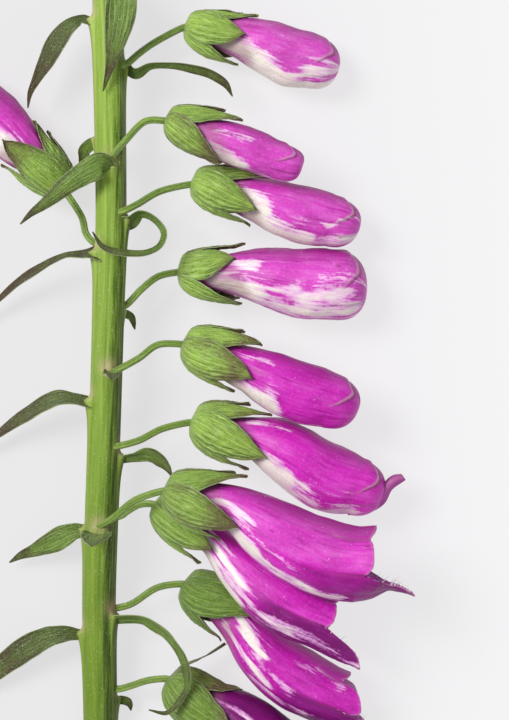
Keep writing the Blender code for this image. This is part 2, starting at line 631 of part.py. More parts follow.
def build_tip_bud(name, h, side, length):
    """A short stalk with a closed green bud."""
    body = Body()
    start, away = stem_seat(h, side, GAP)
    lean = tip_direction(h, side, 42)
    path = smooth_path([start, start + away * 0.08 * length, start + lean * 0.5 * length,
                        start + lean * length - away * 0.05 * length], 8)
    across = unit(np.cross(lean, away))
    upper = np.cross(across, lean)
    widths = (0.07, 0.07, 0.09, 0.19, 0.22, 0.19, 0.12, 0.035)
    rings = []
    for i, width in enumerate(widths):
        first, second = (across, np.cross(away, across)) if i == 0 else (across, upper)
        ring = []
        for k in range(8):
            angle = rad(45 * k)
            ring.append(path[i] + width * length * (first * math.cos(angle)
                                                    + second * math.sin(angle)))
        rings.append(body.ring(ring))
    for a, b in zip(rings, rings[1:]):
        body.join(a, b)
    body.close(rings[0], path[0])
    body.close(rings[-1], path[-1])
    body.build(name, BUD_GREEN)


def build_tip_bract(name, h, side, length):
    start, away = stem_seat(h, side, GAP)
    lean = tip_direction(h, side, -12)
    droop = tip_direction(h, side, -55)
    half = 0.13 * length
    rows = [(*start, half * 0.7), (*(start + away * 0.25 * length), half),
            (*(start + away * 0.25 * length + lean * 0.35 * length), half * 0.85),
            (*(start + away * 0.3 * length + lean * 0.3 * length + droop * 0.4 * length), 0.12)]
    roll = 0 if abs(math.sin(rad(side))) > 0.7 else 60
    build_blade(name, rows, (roll, roll / 2), LEAF_GREEN, 6)


def build_tip_apex():
    """The cluster of scales at the growing point, one small cone."""
    body = Body()
    base, _ = stem_row(STEM[-1][0])
    start = base + np.array([0, 0.6 + GAP, 0])
    rings = []
    for rise, radius in ((0, 0.9), (1.2, 1.7), (3.0, 1.9), (5.0, 1.3), (7.0, 0.3)):
        ring = []
        for k in range(10):
            angle = rad(36 * k)
            scale = 1.0 if k % 2 else 0.82
            ring.append(start + np.array([radius * scale * math.cos(angle) - 0.12 * rise, rise,
                                          radius * scale * math.sin(angle) - 0.05 * rise]))
        rings.append(body.ring(ring))
    for a, b in zip(rings, rings[1:]):
        body.join(a, b)
    body.close(rings[0], start)
    body.close(rings[-1], start + np.array([-0.95, 7.6, -0.4]))
    body.build("tip_apex", BUD_GREEN)


# Putting the spike on the origin


def seat_on_origin():
    """Moves the low centre of the whole spike to the origin and scales it to metres."""
    parts = list(bpy.context.scene.collection.objects)
    corners = np.array([v.co[:] for part in parts for v in part.data.vertices])
    low, high = corners.min(axis=0), corners.max(axis=0)
    shift = np.array([(low[0] + high[0]) / 2, (low[1] + high[1]) / 2, low[2]])
    for part in parts:
        for vertex in part.data.vertices:
            vertex.co = (np.array(vertex.co[:]) - shift) * MM


def main():
    for old in list(bpy.data.objects):
        bpy.data.objects.remove(old, do_unlink=True)
    build_stem()
    for name in BRACTS:
        build_bract(name)
    for key in FLOWERS:
        flower = Flower(key)
        build_calyx(flower)
        if flower.open:
            build_open_tube(flower)
            build_pistil(flower)
        else:
            build_closed_tube(flower)
    for i, row in enumerate(TIP_BUDS):
        build_tip_bud(f"tip_bud_{i + 1:02d}", *row)
    for i, row in enumerate(TIP_BRACTS):
        build_tip_bract(f"tip_bract_{i + 1:02d}", *row)
    build_tip_apex()
    seat_on_origin()


main()
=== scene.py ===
# %% [markdown]
# # A cut foxglove spike, lying on a pale table
# This lesson builds the looks of one foxglove spike around its solid model. We load that
# model first: it fixes where every piece is and how large the whole spike may be.

# %% Load the solid model
import math

import bpy
import numpy as np
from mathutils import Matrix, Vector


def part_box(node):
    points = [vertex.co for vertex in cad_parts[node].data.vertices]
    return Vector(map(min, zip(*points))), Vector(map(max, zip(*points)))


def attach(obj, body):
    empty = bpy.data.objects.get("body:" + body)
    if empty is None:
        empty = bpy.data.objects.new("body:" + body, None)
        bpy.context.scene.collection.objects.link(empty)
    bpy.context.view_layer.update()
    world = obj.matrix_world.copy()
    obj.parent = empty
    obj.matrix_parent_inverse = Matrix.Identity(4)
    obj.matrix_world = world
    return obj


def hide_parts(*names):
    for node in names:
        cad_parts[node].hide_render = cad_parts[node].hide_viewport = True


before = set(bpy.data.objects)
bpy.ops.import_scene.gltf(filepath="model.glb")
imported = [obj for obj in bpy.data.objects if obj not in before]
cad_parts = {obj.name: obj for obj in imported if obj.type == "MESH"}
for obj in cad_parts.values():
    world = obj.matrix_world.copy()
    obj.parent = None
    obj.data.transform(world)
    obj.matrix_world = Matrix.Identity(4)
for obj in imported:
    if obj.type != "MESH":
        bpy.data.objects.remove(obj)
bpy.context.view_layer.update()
print("solid pieces:", len(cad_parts))

# %% [markdown]
# ## Helpers
# A plant has hardly a straight line, so nearly every piece here is a grid of points that
# a formula lays out: rows along the piece, columns round or across it. Beside its place,
# each point carries a few numbers, such as how far along the petal it lies. The finishes
# read those numbers, so veins and streaks follow the growth of each piece.

# %% Curves through a few measures
MM = 0.001


def rad(degrees):
    return np.radians(degrees)


def smooth_at(xs, ys, x):
    """Values at x of a smooth curve through the points xs, ys."""
    xs, ys = np.asarray(xs, float), np.asarray(ys, float)
    slopes = np.gradient(ys, xs)
    x = np.clip(x, xs[0], xs[-1])
    i = np.clip(np.searchsorted(xs, x, side="right") - 1, 0, len(xs) - 2)
    step = xs[i + 1] - xs[i]
    t = (x - xs[i]) / step
    rise = ys[i] * (1 + 2 * t) * (1 - t) ** 2 + ys[i + 1] * t * t * (3 - 2 * t)
    return rise + step * t * (1 - t) * (slopes[i] * (1 - t) - slopes[i + 1] * t)


def smooth_path(points, count):
    """`count` samples along a smooth curve through rows of numbers."""
    points = np.asarray(points, float)
    at = np.linspace(0, len(points) - 1, count)
    return np.stack([smooth_at(np.arange(len(points)), c, at) for c in points.T], axis=1)


def unit(v):
    return v / np.linalg.norm(v, axis=-1, keepdims=True)


def fade(x, low, high):
    """0 below low, 1 above high, and a soft step between."""
    t = np.clip((np.asarray(x, float) - low) / (high - low), 0, 1)
    return t * t * (3 - 2 * t)


def wander(x, y, seed):
    """Slow, smooth, repeatable unevenness between about -1 and 1."""
    rng = np.random.default_rng(seed)
    total = 0.0
    for k in range(4):
        a, b, c = rng.uniform(0.5, 1.6, 3) * (1.0, 1.0, 6.0)
        total = total + np.sin(a * (k + 1) * x + b * (k + 1) * y + c) / (k + 1)
    return total / 1.6


# %% Meshes from grids of points
SPIKE = {"shift": np.zeros(3)}  # where the spike's own measures start, in millimetres
ON_TABLE = 0.03  # a soft edge that would dip under the table lies this high, in millimetres
pieces = []


def grid_faces(rows, columns, wrap):
    """Four-cornered faces of a grid; wrap joins its last column to its first."""
    r = np.arange(rows - 1)[:, None]
    c = np.arange(columns if wrap else columns - 1)[None, :]
    after = (c + 1) % columns
    return np.stack([r * columns + c, r * columns + after, (r + 1) * columns + after,
                     (r + 1) * columns + c], axis=-1).reshape(-1, 4)


def end_caps(rows, columns):
    """The faces that close both ends of a tube's grid."""
    first = list(range(columns))
    return [first, list(range((rows - 1) * columns, rows * columns))[::-1]]


def sheet_axes(rows, columns):
    """Shares from 0 to 1 down a sheet and from -1 to 1 across it."""
    return np.linspace(0, 1, rows)[:, None], np.linspace(-1, 1, columns)[None, :]


def make_piece(name, points, faces, layers, finish, nodes=(), fans=()):
    """A mesh from millimetre points, with one number layer for each entry of `layers`."""
    points = np.asarray(points, float).reshape(-1, 3) - SPIKE["shift"]
    points[:, 2] = np.maximum(points[:, 2], ON_TABLE)
    points = points * MM
    a, b, c, d = (points[faces[:, i]] for i in range(4))
    volume = np.sum(np.cross(a, b) * c) + np.sum(np.cross(a, c) * d)
    listed = faces.tolist() + [list(f) for f in fans]
    if volume < 0:
        listed = [f[::-1] for f in listed]
    mesh = bpy.data.meshes.new(name)
    mesh.from_pydata(points.tolist(), [], listed)
    mesh.polygons.foreach_set("use_smooth", np.ones(len(mesh.polygons), bool))
    for layer, values in layers.items():
        values = np.broadcast_to(values, len(points)) if np.ndim(values) == 0 else values
        made = mesh.attributes.new(layer, "FLOAT", "POINT")
        made.data.foreach_set("value", np.asarray(values, np.float32).ravel())
    mesh.materials.append(finish)
    piece = bpy.data.objects.new(name, mesh)
    bpy.context.scene.collection.objects.link(piece)
    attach(piece, "root")
    if nodes:
        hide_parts(*nodes)
    pieces.append(piece)
    return piece


def shell(top, bottom, top_layers, bottom_layers):
    """Points, faces and layers of a thin sheet with two sides and closed edges."""
    rows, columns = top.shape[:2]
    one = grid_faces(rows, columns, False)
    size = rows * columns
    edge = np.concatenate([np.arange(columns), np.arange(1, rows) * columns + columns - 1,
                           (rows - 1) * columns + np.arange(columns - 2, -1, -1),
                           np.arange(rows - 2, 0, -1) * columns])
    after = np.roll(edge, -1)
    rim = np.stack([edge, edge + size, after + size, after], axis=1)
    faces = np.concatenate([one, one[:, ::-1] + size, rim])
    points = np.concatenate([top.reshape(-1, 3), bottom.reshape(-1, 3)])
    layers = {k: np.concatenate([np.broadcast_to(top_layers[k], (rows, columns)).ravel(),
                                 np.broadcast_to(bottom_layers[k], (rows, columns)).ravel()])
              for k in top_layers}
    return points, faces, layers


def leaf_sheet(top, bottom, layers, upper_side=0.0, lower_side=1.0):
    """A shell whose layer `under` tells its two sides apart."""
    return shell(top, bottom, {**layers, "under": upper_side}, {**layers, "under": lower_side})


def joined(parts):
    """Several (points, faces, layers) made one; a layer may be one number."""
    count, faces = 0, []
    for points, own, _ in parts:
        faces.append(own + count)
        count += len(points)
    layers = {k: np.concatenate([np.broadcast_to(p[2][k], len(p[0])) for p in parts])
              for k in parts[0][2]}
    return np.concatenate([p[0] for p in parts]), np.concatenate(faces), layers


def tube_normals(grid):
    """Unit normals of a tube's grid of points."""
    across = np.roll(grid, -1, axis=1) - np.roll(grid, 1, axis=1)
    return unit(np.cross(np.gradient(grid, axis=0), across) + 1e-12)


# %% Colours and shader nodes
def linear(hex_code):
    """An sRGB hex colour as linear red, green, blue and alpha."""
    parts = [int(hex_code[i:i + 2], 16) / 255 for i in (1, 3, 5)]
    flat = [p / 12.92 if p <= 0.04045 else ((p + 0.055) / 1.055) ** 2.4 for p in parts]
    return (*flat, 1.0)


def node(tree, kind, inputs=None, **settings):
    """Adds a node with its settings; an input is a value or another node's output."""
    made = tree.nodes.new(kind)
    for key, value in settings.items():
        setattr(made, key, value)
    for key, value in (inputs or {}).items():
        if isinstance(value, bpy.types.NodeSocket):
            tree.links.new(value, made.inputs[key])
        else:
            made.inputs[key].default_value = value
    return made


class Finish:
    """A material for one real finish, with short names for the nodes used most."""

    def __init__(self, name):
        self.material = bpy.data.materials.new(name)
        self.material.use_nodes = True
        self.tree = self.material.node_tree
        self.shader = self.tree.nodes["Principled BSDF"]

    def layer(self, name):
        """A number layer of the mesh."""
        return node(self.tree, "ShaderNodeAttribute", attribute_name=name).outputs["Fac"]

    def place(self):
        return node(self.tree, "ShaderNodeTexCoord").outputs["Object"]

    def point(self, x, y, z=0.0):
        return node(self.tree, "ShaderNodeCombineXYZ", {"X": x, "Y": y, "Z": z}).outputs[0]

    def maths(self, operation, *values):
        return node(self.tree, "ShaderNodeMath", dict(enumerate(values)),
                    operation=operation).outputs[0]

    def remap(self, value, low, high, to_low=0.0, to_high=1.0, **settings):
        ends = {"Value": value, "From Min": low, "From Max": high, "To Min": to_low,
                "To Max": to_high}
        return node(self.tree, "ShaderNodeMapRange", ends, **settings).outputs[0]

    def mixed(self, factor, a, b, **settings):
        """From colour a to colour b; each is a hex code, four numbers or a node's output."""
        a, b = (linear(x) if isinstance(x, str) else x for x in (a, b))
        return node(self.tree, "ShaderNodeMix", {0: factor, 6: a, 7: b}, data_type="RGBA",
                    clamp_factor=True, **settings).outputs[2]

    def ramp(self, value, *stops):
        """A colour ramp through (position, hex colour) stops."""
        made = node(self.tree, "ShaderNodeValToRGB", {"Fac": value})
        while len(made.color_ramp.elements) < len(stops):
            made.color_ramp.elements.new(0.5)
        for element, (at, code) in zip(made.color_ramp.elements, stops):
            element.position = at
            element.color = linear(code)
        return made.outputs["Color"]

    def noise(self, where, scale, detail=2.0, roughness=0.5, bent=0.0):
        inputs = {"Vector": where, "Scale": scale, "Detail": detail, "Roughness": roughness,
                  "Distortion": bent}
        return node(self.tree, "ShaderNodeTexNoise", inputs).outputs["Fac"]

    def bump(self, height, strength, distance, over=None):
        """Relief, laid over another bump if one is given."""
        inputs = {"Height": height, "Strength": strength, "Distance": distance}
        if over is not None:
            inputs["Normal"] = over
        return node(self.tree, "ShaderNodeBump", inputs).outputs[0]

    def finished(self, colour, relief, values):
        """Wires colour and relief into the shader, sets its plain values, gives the material."""
        self.tree.links.new(colour, self.shader.inputs["Base Color"])
        if relief is not None:
            self.tree.links.new(relief, self.shader.inputs["Normal"])
        for key, value in values.items():
            self.shader.inputs[key].default_value = value
        return self.material


# %% [markdown]
# ## The plan of the spike
# All measures are millimetres. The spike's own height runs up the stem, x to the side
# that the flowers hang to, and z up from the table. The stem is a row of stations:
# height, sideways position, height over the table and half width.

# %% The stem's line
STEM = np.array((
    (-18, 19.6, 3.0, 3.2), (5, 19.5, 5.1, 3.2), (20, 19.4, 6.8, 3.15), (40, 20.0, 8.6, 3.15),
    (60, 20.9, 10.0, 3.1), (80, 21.6, 10.8, 3.1), (100, 22.2, 11.0, 3.1), (120, 22.0, 10.6, 3.1),
    (144, 21.4, 9.6, 3.0), (160, 20.6, 8.4, 2.6), (178, 19.2, 6.9, 1.9), (194, 17.2, 5.8, 1.1),
), float)
STEM_FOOT, STEM_TIP = STEM[0, 0], STEM[-1, 0]
STEM_DEPTH = 0.93  # its thickness from table to top, as a share of its width


def stem_centre(h):
    h = np.asarray(h, float)
    x, z = (smooth_at(STEM[:, 0], STEM[:, i], h) for i in (1, 2))
    return np.stack([x, h, z], axis=-1)


def stem_half(h, angle):
    stouter = 0.22 * (1 - fade(h, 0, 110))
    r = smooth_at(STEM[:, 0], STEM[:, 3], h) + stouter
    return r * (1 - (1 - STEM_DEPTH) * np.sin(rad(angle)) ** 2)


low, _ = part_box("stem")
heights = np.linspace(STEM_FOOT, STEM_TIP, 200)
reach = stem_centre(heights)[:, 0] - stem_half(heights, 0)
SPIKE["shift"] = np.array([reach.min() - low.x / MM - 0.1, STEM_FOOT - low.y / MM, 0.0])
print("the spike's own zero:", SPIKE["shift"].round(2))

# %% [markdown]
# ## Bracts
# A bract is a small leaf at the foot of each flower. Each has a line of stations along its
# midrib: x, y, z and half width. It starts on the stem at a height and a side angle: 0 is
# right, 90 up from the table, 180 left. Two more angles roll the blade at foot and tip.

# %% Measures of the bracts
BRACTS = {
    "bract_01": ((148.5, 90, 1.6), (0, 0), (
        (23.2, 147.0, 14.2, 2.9), (24.5, 143.6, 15.2, 3.1), (24.2, 138.6, 15.6, 2.8),
        (23.3, 134.2, 15.6, 2.0), (22.5, 130.6, 15.2, 1.1), (20.9, 125.3, 14.4, 0.12))),
    "bract_02": ((139.8, 175, 0.9), (35, 20), (
        (16.2, 140.2, 9.4, 1.1), (14.2, 139.2, 9.4, 1.6), (12.0, 136.9, 9.2, 2.1),
        (9.8, 133.2, 8.8, 1.9), (7.5, 129.2, 8.2, 1.2), (5.8, 126.0, 7.8, 0.6),
        (5.2, 122.8, 7.6, 0.12))),
    "bract_03": ((131.0, -30, 0.9), (60, 30), (
        (27.2, 129.6, 9.8, 0.9), (30.0, 130.9, 10.2, 0.6), (34.0, 131.1, 10.2, 0.55),
        (38.0, 130.6, 10.0, 0.8), (42.0, 129.5, 9.6, 0.8), (45.0, 127.6, 9.2, 0.7),
        (46.5, 125.0, 8.8, 0.12))),
    "bract_04": ((115.8, 215, 1.3), (20, 0), (
        (16.8, 114.6, 6.6, 1.3), (16.3, 112.6, 5.6, 1.0), (16.0, 110.2, 4.6, 0.7),
        (15.9, 107.4, 3.6, 0.12))),
    "bract_05": ((109.8, 90, 1.6), (0, 10), (
        (20.8, 110.6, 16.4, 2.5), (18.6, 109.6, 17.0, 2.6), (15.6, 107.8, 16.8, 2.2),
        (12.6, 105.6, 16.0, 1.8), (9.6, 103.2, 15.0, 1.2), (6.8, 101.3, 14.2, 0.7),
        (4.3, 99.0, 13.4, 0.12))),
    "bract_06": ((99.8, 5, 1.3), (50, 50), (
        (28.2, 101.3, 12.2, 0.75), (31.0, 100.1, 13.0, 0.6), (33.0, 97.4, 14.0, 0.65),
        (32.2, 94.6, 15.2, 0.6), (29.6, 93.1, 16.4, 0.6), (26.0, 92.9, 17.0, 0.7),
        (22.8, 93.3, 17.2, 0.7), (20.6, 94.5, 16.8, 0.5), (18.9, 97.3, 16.2, 0.12))),
    "bract_07": ((93.0, 165, 1.3), (55, 40), (
        (16.4, 93.0, 11.0, 0.9), (13.4, 93.0, 10.4, 0.6), (10.2, 91.8, 9.2, 0.7),
        (6.6, 89.7, 7.6, 0.9), (2.8, 87.3, 5.8, 0.85), (-1.0, 84.3, 4.0, 0.6),
        (-6.0, 79.4, 2.0, 0.12))),
    "bract_08": ((81.4, -45, 0.9), (0, 0), (
        (25.8, 80.9, 7.2, 0.8), (26.3, 79.8, 5.9, 0.6), (26.6, 78.2, 4.6, 0.12))),
    "bract_09": ((68.6, 82, 1.3), (0, 0), (
        (22.4, 69.2, 15.4, 1.5), (23.0, 68.9, 18.2, 1.4), (23.2, 68.5, 21.2, 1.0),
        (23.2, 68.2, 24.0, 0.12))),
    "bract_10": ((63.4, 172, 1.1), (50, 40), (
        (14.6, 64.0, 10.4, 1.1), (11.6, 64.0, 9.6, 1.5), (8.6, 62.9, 8.4, 1.6),
        (5.2, 61.1, 6.8, 1.5), (1.8, 58.9, 5.2, 1.1), (-2.2, 56.0, 3.6, 0.7),
        (-6.6, 52.4, 1.8, 0.12))),
    "bract_11": ((52.2, 0, 0.9), (40, 20), (
        (27.2, 52.7, 10.6, 1.0), (29.8, 53.2, 12.6, 1.4), (32.0, 52.3, 13.4, 1.3),
        (33.6, 50.8, 14.0, 0.8), (34.6, 48.8, 14.4, 0.12))),
    "bract_12": ((37.4, 200, 1.4), (20, 10), (
        (14.4, 37.2, 6.6, 1.8), (11.8, 36.0, 5.8, 2.3), (9.0, 34.6, 5.0, 2.0),
        (6.2, 33.3, 4.2, 1.4), (3.4, 32.2, 3.4, 0.8), (0.8, 30.6, 2.4, 0.12))),
    "bract_13": ((37.0, 90, 2.2), (0, 0), (
        (19.7, 37.2, 14.8, 2.8), (19.6, 36.9, 17.6, 2.9), (19.5, 36.5, 20.4, 2.2),
        (19.5, 36.2, 23.4, 1.2), (19.6, 36.0, 25.6, 0.12))),
    "bract_14": ((20.0, 20, 1.0), (45, 45), (
        (27.6, 20.3, 10.6, 0.95), (30.4, 19.5, 12.4, 1.1), (32.8, 18.1, 13.8, 0.9),
        (34.9, 16.0, 14.8, 0.75), (36.6, 13.4, 15.2, 0.85), (37.6, 10.2, 15.2, 0.8),
        (37.4, 6.8, 15.0, 0.45), (35.8, 4.0, 14.8, 0.6), (33.4, 2.0, 14.6, 0.4),
        (29.9, 2.6, 14.4, 0.12))),
    "bract_15": ((16.4, 178, 1.1), (30, 10), (
        (13.6, 16.6, 6.8, 1.4), (11.0, 16.3, 6.6, 1.8), (8.2, 15.4, 6.0, 2.2),
        (4.8, 13.6, 5.2, 2.4), (1.2, 11.0, 4.2, 2.3), (-2.6, 8.0, 3.2, 1.8),
        (-6.2, 4.9, 2.2, 1.1), (-9.4, 1.6, 1.4, 0.12))),
    "bract_16": ((2.6, -30, 0.9), (0, 0), (
        (24.6, 2.6, 3.4, 0.9), (25.4, 1.8, 2.9, 0.7), (25.7, 0.4, 2.5, 0.12))),
}
BRACT_FOLD = 0.22  # rise of a blade's margins over its midrib, as a share of half its width
# how brown each bract has turned; in the named ones the paler underside faces up
BRACT_TONE = {"bract_01": 0.05, "bract_02": 0.25, "bract_03": 0.25, "bract_04": 0.35,
              "bract_07": 0.6, "bract_10": 0.25, "bract_12": 0.1, "bract_15": 0.2,
              "bract_16": 0.3}
FACE_DOWN = ("bract_02", "bract_07", "bract_10", "bract_15")

# %% [markdown]
# ## The stem
# A foxglove stem is not round: every bract's foot runs on down the stem as a raised,
# paler keel with two thin edges. So the stem is a fine grid whose radius grows by small
# ridges. The same ridges go into a number layer, so that the finish can paint them.

# %% Stem surface with ridges
def foot_shape(h, angle):
    """Rise in millimetres of the keels under the bracts, and how near a keel's edge is."""
    rise, edge, axil = 0.0, 0.0, 0.0
    for (start, side, half), _, _ in BRACTS.values():
        below = start + 0.6 - h
        away = (angle - side + 180) % 360 - 180
        width = 15 + 9 * half * np.exp(-np.clip(below, 0, 60) / 12)
        shape = fade(1.25 - np.abs(away) / width, 0, 0.9)
        run = np.where(below > 0, np.exp(-below / 15), np.exp(below / 0.35))
        flare = np.where(below > 0, np.exp(-below / 2.4), np.exp(below / 0.5))
        rise = np.maximum(rise, shape * (0.38 * run + 1.0 * flare))
        line = np.exp(-((np.abs(away) - width * 0.8) / 4.5) ** 2) * run
        edge = np.maximum(edge, line)
        axil = np.maximum(axil, np.exp(-((below + 1.5) / 1.6) ** 2 - (away / 35) ** 2))
    return rise, edge, axil


def stem_surface(h, angle):
    """Points on the finished stem, with its layers."""
    keel, edge, axil = foot_shape(h, angle)
    slow = 0.10 * np.cos(rad(5 * angle + 0.6 * h + 40)) + 0.05 * np.cos(rad(11 * angle - 0.9 * h))
    fine = 0.02 * wander(angle * 0.35, h * 0.05, 5)
    r = stem_half(h, angle) - 0.05 + slow + fine + keel + 0.14 * edge
    r = r * (1 - 0.06 * fade(h, 150, STEM_TIP))
    direction = np.stack([np.cos(rad(angle)), 0 * angle, np.sin(rad(angle))], axis=-1)
    return stem_centre(h) + r[..., None] * direction, edge, axil


def on_stem(h, angle, gap=0.0):
    """One point on the stem's side, and the direction away from the stem there."""
    away = np.array([math.cos(rad(angle)), 0.0, math.sin(rad(angle))])
    return stem_centre(h) + away * (stem_half(h, angle) + gap), away


# %% [markdown]
# ### Stem finish
# Fresh stem skin is a soft green with a waxy, slightly rough surface under short white
# down. Round the stem a ramp paints light on the left front side, painted shade in a dark
# olive band on the right side, and a mauve band at the left edge.
# Streaks are drawn 0.5 mm wide, coarser than the real fibres, so that they show.

# %% Stem skin
def stem_skin():
    skin = Finish("stem_skin_downy")
    side, height = skin.layer("side"), skin.layer("height")
    where = skin.point(skin.maths("MULTIPLY", side, 20.0), skin.maths("MULTIPLY", height, 0.05))
    streak = skin.noise(where, 2.0, 5.0, 0.6)
    low_part = skin.remap(height, 150.0, STEM_FOOT)
    turned = skin.maths("MULTIPLY_ADD", low_part, -0.05, side)
    # painted light and shade: the ramp round the stem is light on the left front and dark olive
    # on the right side
    light_and_shade_bands = skin.ramp(
        skin.maths("MULTIPLY_ADD", streak, 0.09, turned),
        (0.04, "#46521F"), (0.13, "#3E5710"), (0.195, "#4C6A12"), (0.245, "#76962A"),
        (0.33, "#84A235"), (0.40, "#769628"), (0.47, "#8CA444"), (0.53, "#86805A"),
        (0.62, "#64781F"), (0.80, "#587519"), (1.0, "#46521F"))
    streaked = skin.mixed(skin.remap(streak, 0.42, 0.75), light_and_shade_bands, "#95B14A")
    keeled = skin.mixed(skin.layer("edge"), streaked, "#9CB852")
    darker = skin.mixed(low_part, (1.06, 1.06, 0.98, 1), (0.50, 0.53, 0.25, 1))
    toned = skin.mixed(1.0, keeled, darker, blend_type="MULTIPLY")
    tinted = skin.mixed(skin.maths("MULTIPLY", skin.layer("axil"), 0.55), toned, "#C7A98C")
    down = skin.noise(skin.place(), 2600.0, 2.0, 0.7)
    downy = skin.mixed(skin.remap(down, 0.60, 0.76, 0.0, 0.42), tinted, "#CFDDB0")
    relief = skin.bump(down, 0.35, 0.0001, skin.bump(streak, 0.5, 0.0003))
    return skin.finished(downy, relief, {
        "Roughness": 0.5, "Specular IOR Level": 0.3, "Sheen Weight": 0.04,
        "Sheen Roughness": 0.4})


STEM_SKIN = stem_skin()

# %% Build the stem
def build_stem():
    rows, columns = 520, 150
    h, angle = np.meshgrid(np.linspace(STEM_FOOT, STEM_TIP, rows),
                           np.arange(columns) * 360 / columns, indexing="ij")
    points, edge, axil = stem_surface(h, angle)
    fans = [cap[::-1] for cap in end_caps(rows, columns)]
    layers = {"side": angle / 360, "height": h, "edge": edge, "axil": axil}
    made = make_piece("stem_skin", points, grid_faces(rows, columns, True), layers, STEM_SKIN,
                      ["stem"], fans)
    print("stem points:", len(made.data.vertices))


build_stem()

# %% [markdown]
# ### Leaf finish
# Bracts and sepals share one build of finish, in two sets of colours. A foxglove leaf is
# quilted: veins run along it in curves and the skin bulges between them. Painted shade
# darkens the hollows between the bulges and the blade towards its margins, and painted
# highlights lighten the crests of the bulges. A pale margin of fine down is painted
# brighter as a rim highlight. The layer `across` runs from -1 to 1 over the blade and
# `along` from 0 to 1, so lines of equal `across` are the veins. The net of small veins is
# a cell pattern about 0.8 mm wide.

# %% Leaf skin
VEINS = 3.5  # lengthwise veins on each side of the midrib


def leaf_skin(name, upper, under, vein, under_vein, groove_shade, blush, blush_from):
    """`blush` is the brown of old tissue, which starts at the share `blush_from`."""
    skin = Finish(name)
    across, along, below = skin.layer("across"), skin.layer("along"), skin.layer("under")
    place = skin.place()
    drift = skin.noise(place, 260.0, 3.0)
    bent = skin.maths("MULTIPLY_ADD", drift, 0.16, across)
    saw = skin.maths("PINGPONG", skin.maths("MULTIPLY", bent, VEINS), 0.5)
    line = skin.remap(saw, 0.16, 0.0, interpolation_type="SMOOTHSTEP")
    net = node(skin.tree, "ShaderNodeTexVoronoi", {"Vector": place, "Scale": 1200.0},
               feature="DISTANCE_TO_EDGE").outputs["Distance"]
    lines = skin.maths("MAXIMUM", line, skin.remap(net, 0.14, 0.0, 0.0, 0.45))
    colour = skin.mixed(below, upper, under)
    patches = skin.remap(drift, 0.35, 0.7, 0.82, 1.18)
    colour = skin.mixed(1.0, colour, patches, blend_type="MULTIPLY")
    spot = skin.point(skin.maths("MULTIPLY", across, 8.0), skin.maths("MULTIPLY", along, 2.6))
    fibre = skin.noise(spot, 1.6, 5.0, 0.65)
    sided = skin.maths("MULTIPLY", across, across)
    # painted shade: darker in the hollows between the quilted bulges and towards the margins
    hollow_shade = skin.remap(fibre, 0.50, 0.34, 0.0, 0.85)
    colour = skin.mixed(skin.maths("MULTIPLY_ADD", sided, 0.42, hollow_shade), colour, groove_shade)
    pale = skin.mixed(below, vein, under_vein)
    # painted highlight: the crests of the bulges are paler
    colour = skin.mixed(skin.remap(fibre, 0.54, 0.68, 0.0, 0.8), colour, pale)
    colour = skin.mixed(skin.maths("MULTIPLY", lines, 0.5), colour, pale)
    blotch = skin.noise(place, 420.0, 4.0, 0.65)
    toward = skin.remap(along, blush_from, 1.05, 0.0, 0.9)
    aged = skin.maths("ADD", skin.maths("MULTIPLY_ADD", sided, 0.35, toward), skin.layer("tint"))
    patchy = skin.maths("MULTIPLY", aged, blotch)
    colour = skin.mixed(skin.remap(patchy, 0.20, 0.55, 0.0, 0.85), colour, blush)
    # pale margin: fine pale down, painted brighter as a rim highlight
    colour = skin.mixed(skin.remap(sided, 0.84, 0.97, 0.0, 0.75), colour, "#A3B47C")
    down = skin.noise(place, 3200.0, 1.0)
    colour = skin.mixed(skin.remap(down, 0.64, 0.8, 0.0, 0.5), colour, "#D3E0BC")
    relief = skin.bump(fibre, 0.8, 0.0004, skin.bump(lines, 0.45, 0.0002))
    return skin.finished(colour, relief, {
        "Roughness": 0.34, "Specular IOR Level": 0.34, "Sheen Weight": 0.07,
        "Sheen Roughness": 0.4})


BRACT_SKIN = leaf_skin("bract_leaf_skin", "#5C7C1C", "#48561A", "#9DB066", "#84945A",
                       "#2F3F0C", "#482E24", 0.35)
SEPAL_SKIN = leaf_skin("sepal_leaf_skin", "#8DAE3C", "#526E1C", "#BED684", "#8BA650",
                       "#42640F", "#5F4034", 0.55)

# %% [markdown]
# ### Building a bract
# The blade is a thin sheet with two sides. Its cross-section folds up along the midrib and
# its margins wave a little. Near the foot it widens and dips into the stem, so that the
# leaf grows out of the keel with no gap.

# %% Build the bracts
def turned_frames(path, roll):
    """Across and upward directions along a blade's midrib."""
    along = unit(np.gradient(path, axis=0))
    across_rows, last = [], None
    for t in along:
        across = np.cross((0.0, 0.0, 1.0), t)
        if np.linalg.norm(across) < 0.45:
            across = np.array([1.0, 0, 0]) - t * t[0]
        across = unit(across)
        if last is not None and across @ last < 0:
            across = -across
        last = across
        across_rows.append(across)
    across = np.array(across_rows)
    for _ in range(6):
        inner = (across[:-2] + 2 * across[1:-1] + across[2:]) / 4
        across = unit(np.concatenate([across[:1], inner, across[-1:]]))
    across = unit(across - along * np.sum(across * along, axis=1, keepdims=True))
    up = np.cross(along, across)
    turn = rad(np.linspace(roll[0], roll[1], len(path)))[:, None]
    return across * np.cos(turn) + up * np.sin(turn), up * np.cos(turn) - across * np.sin(turn)


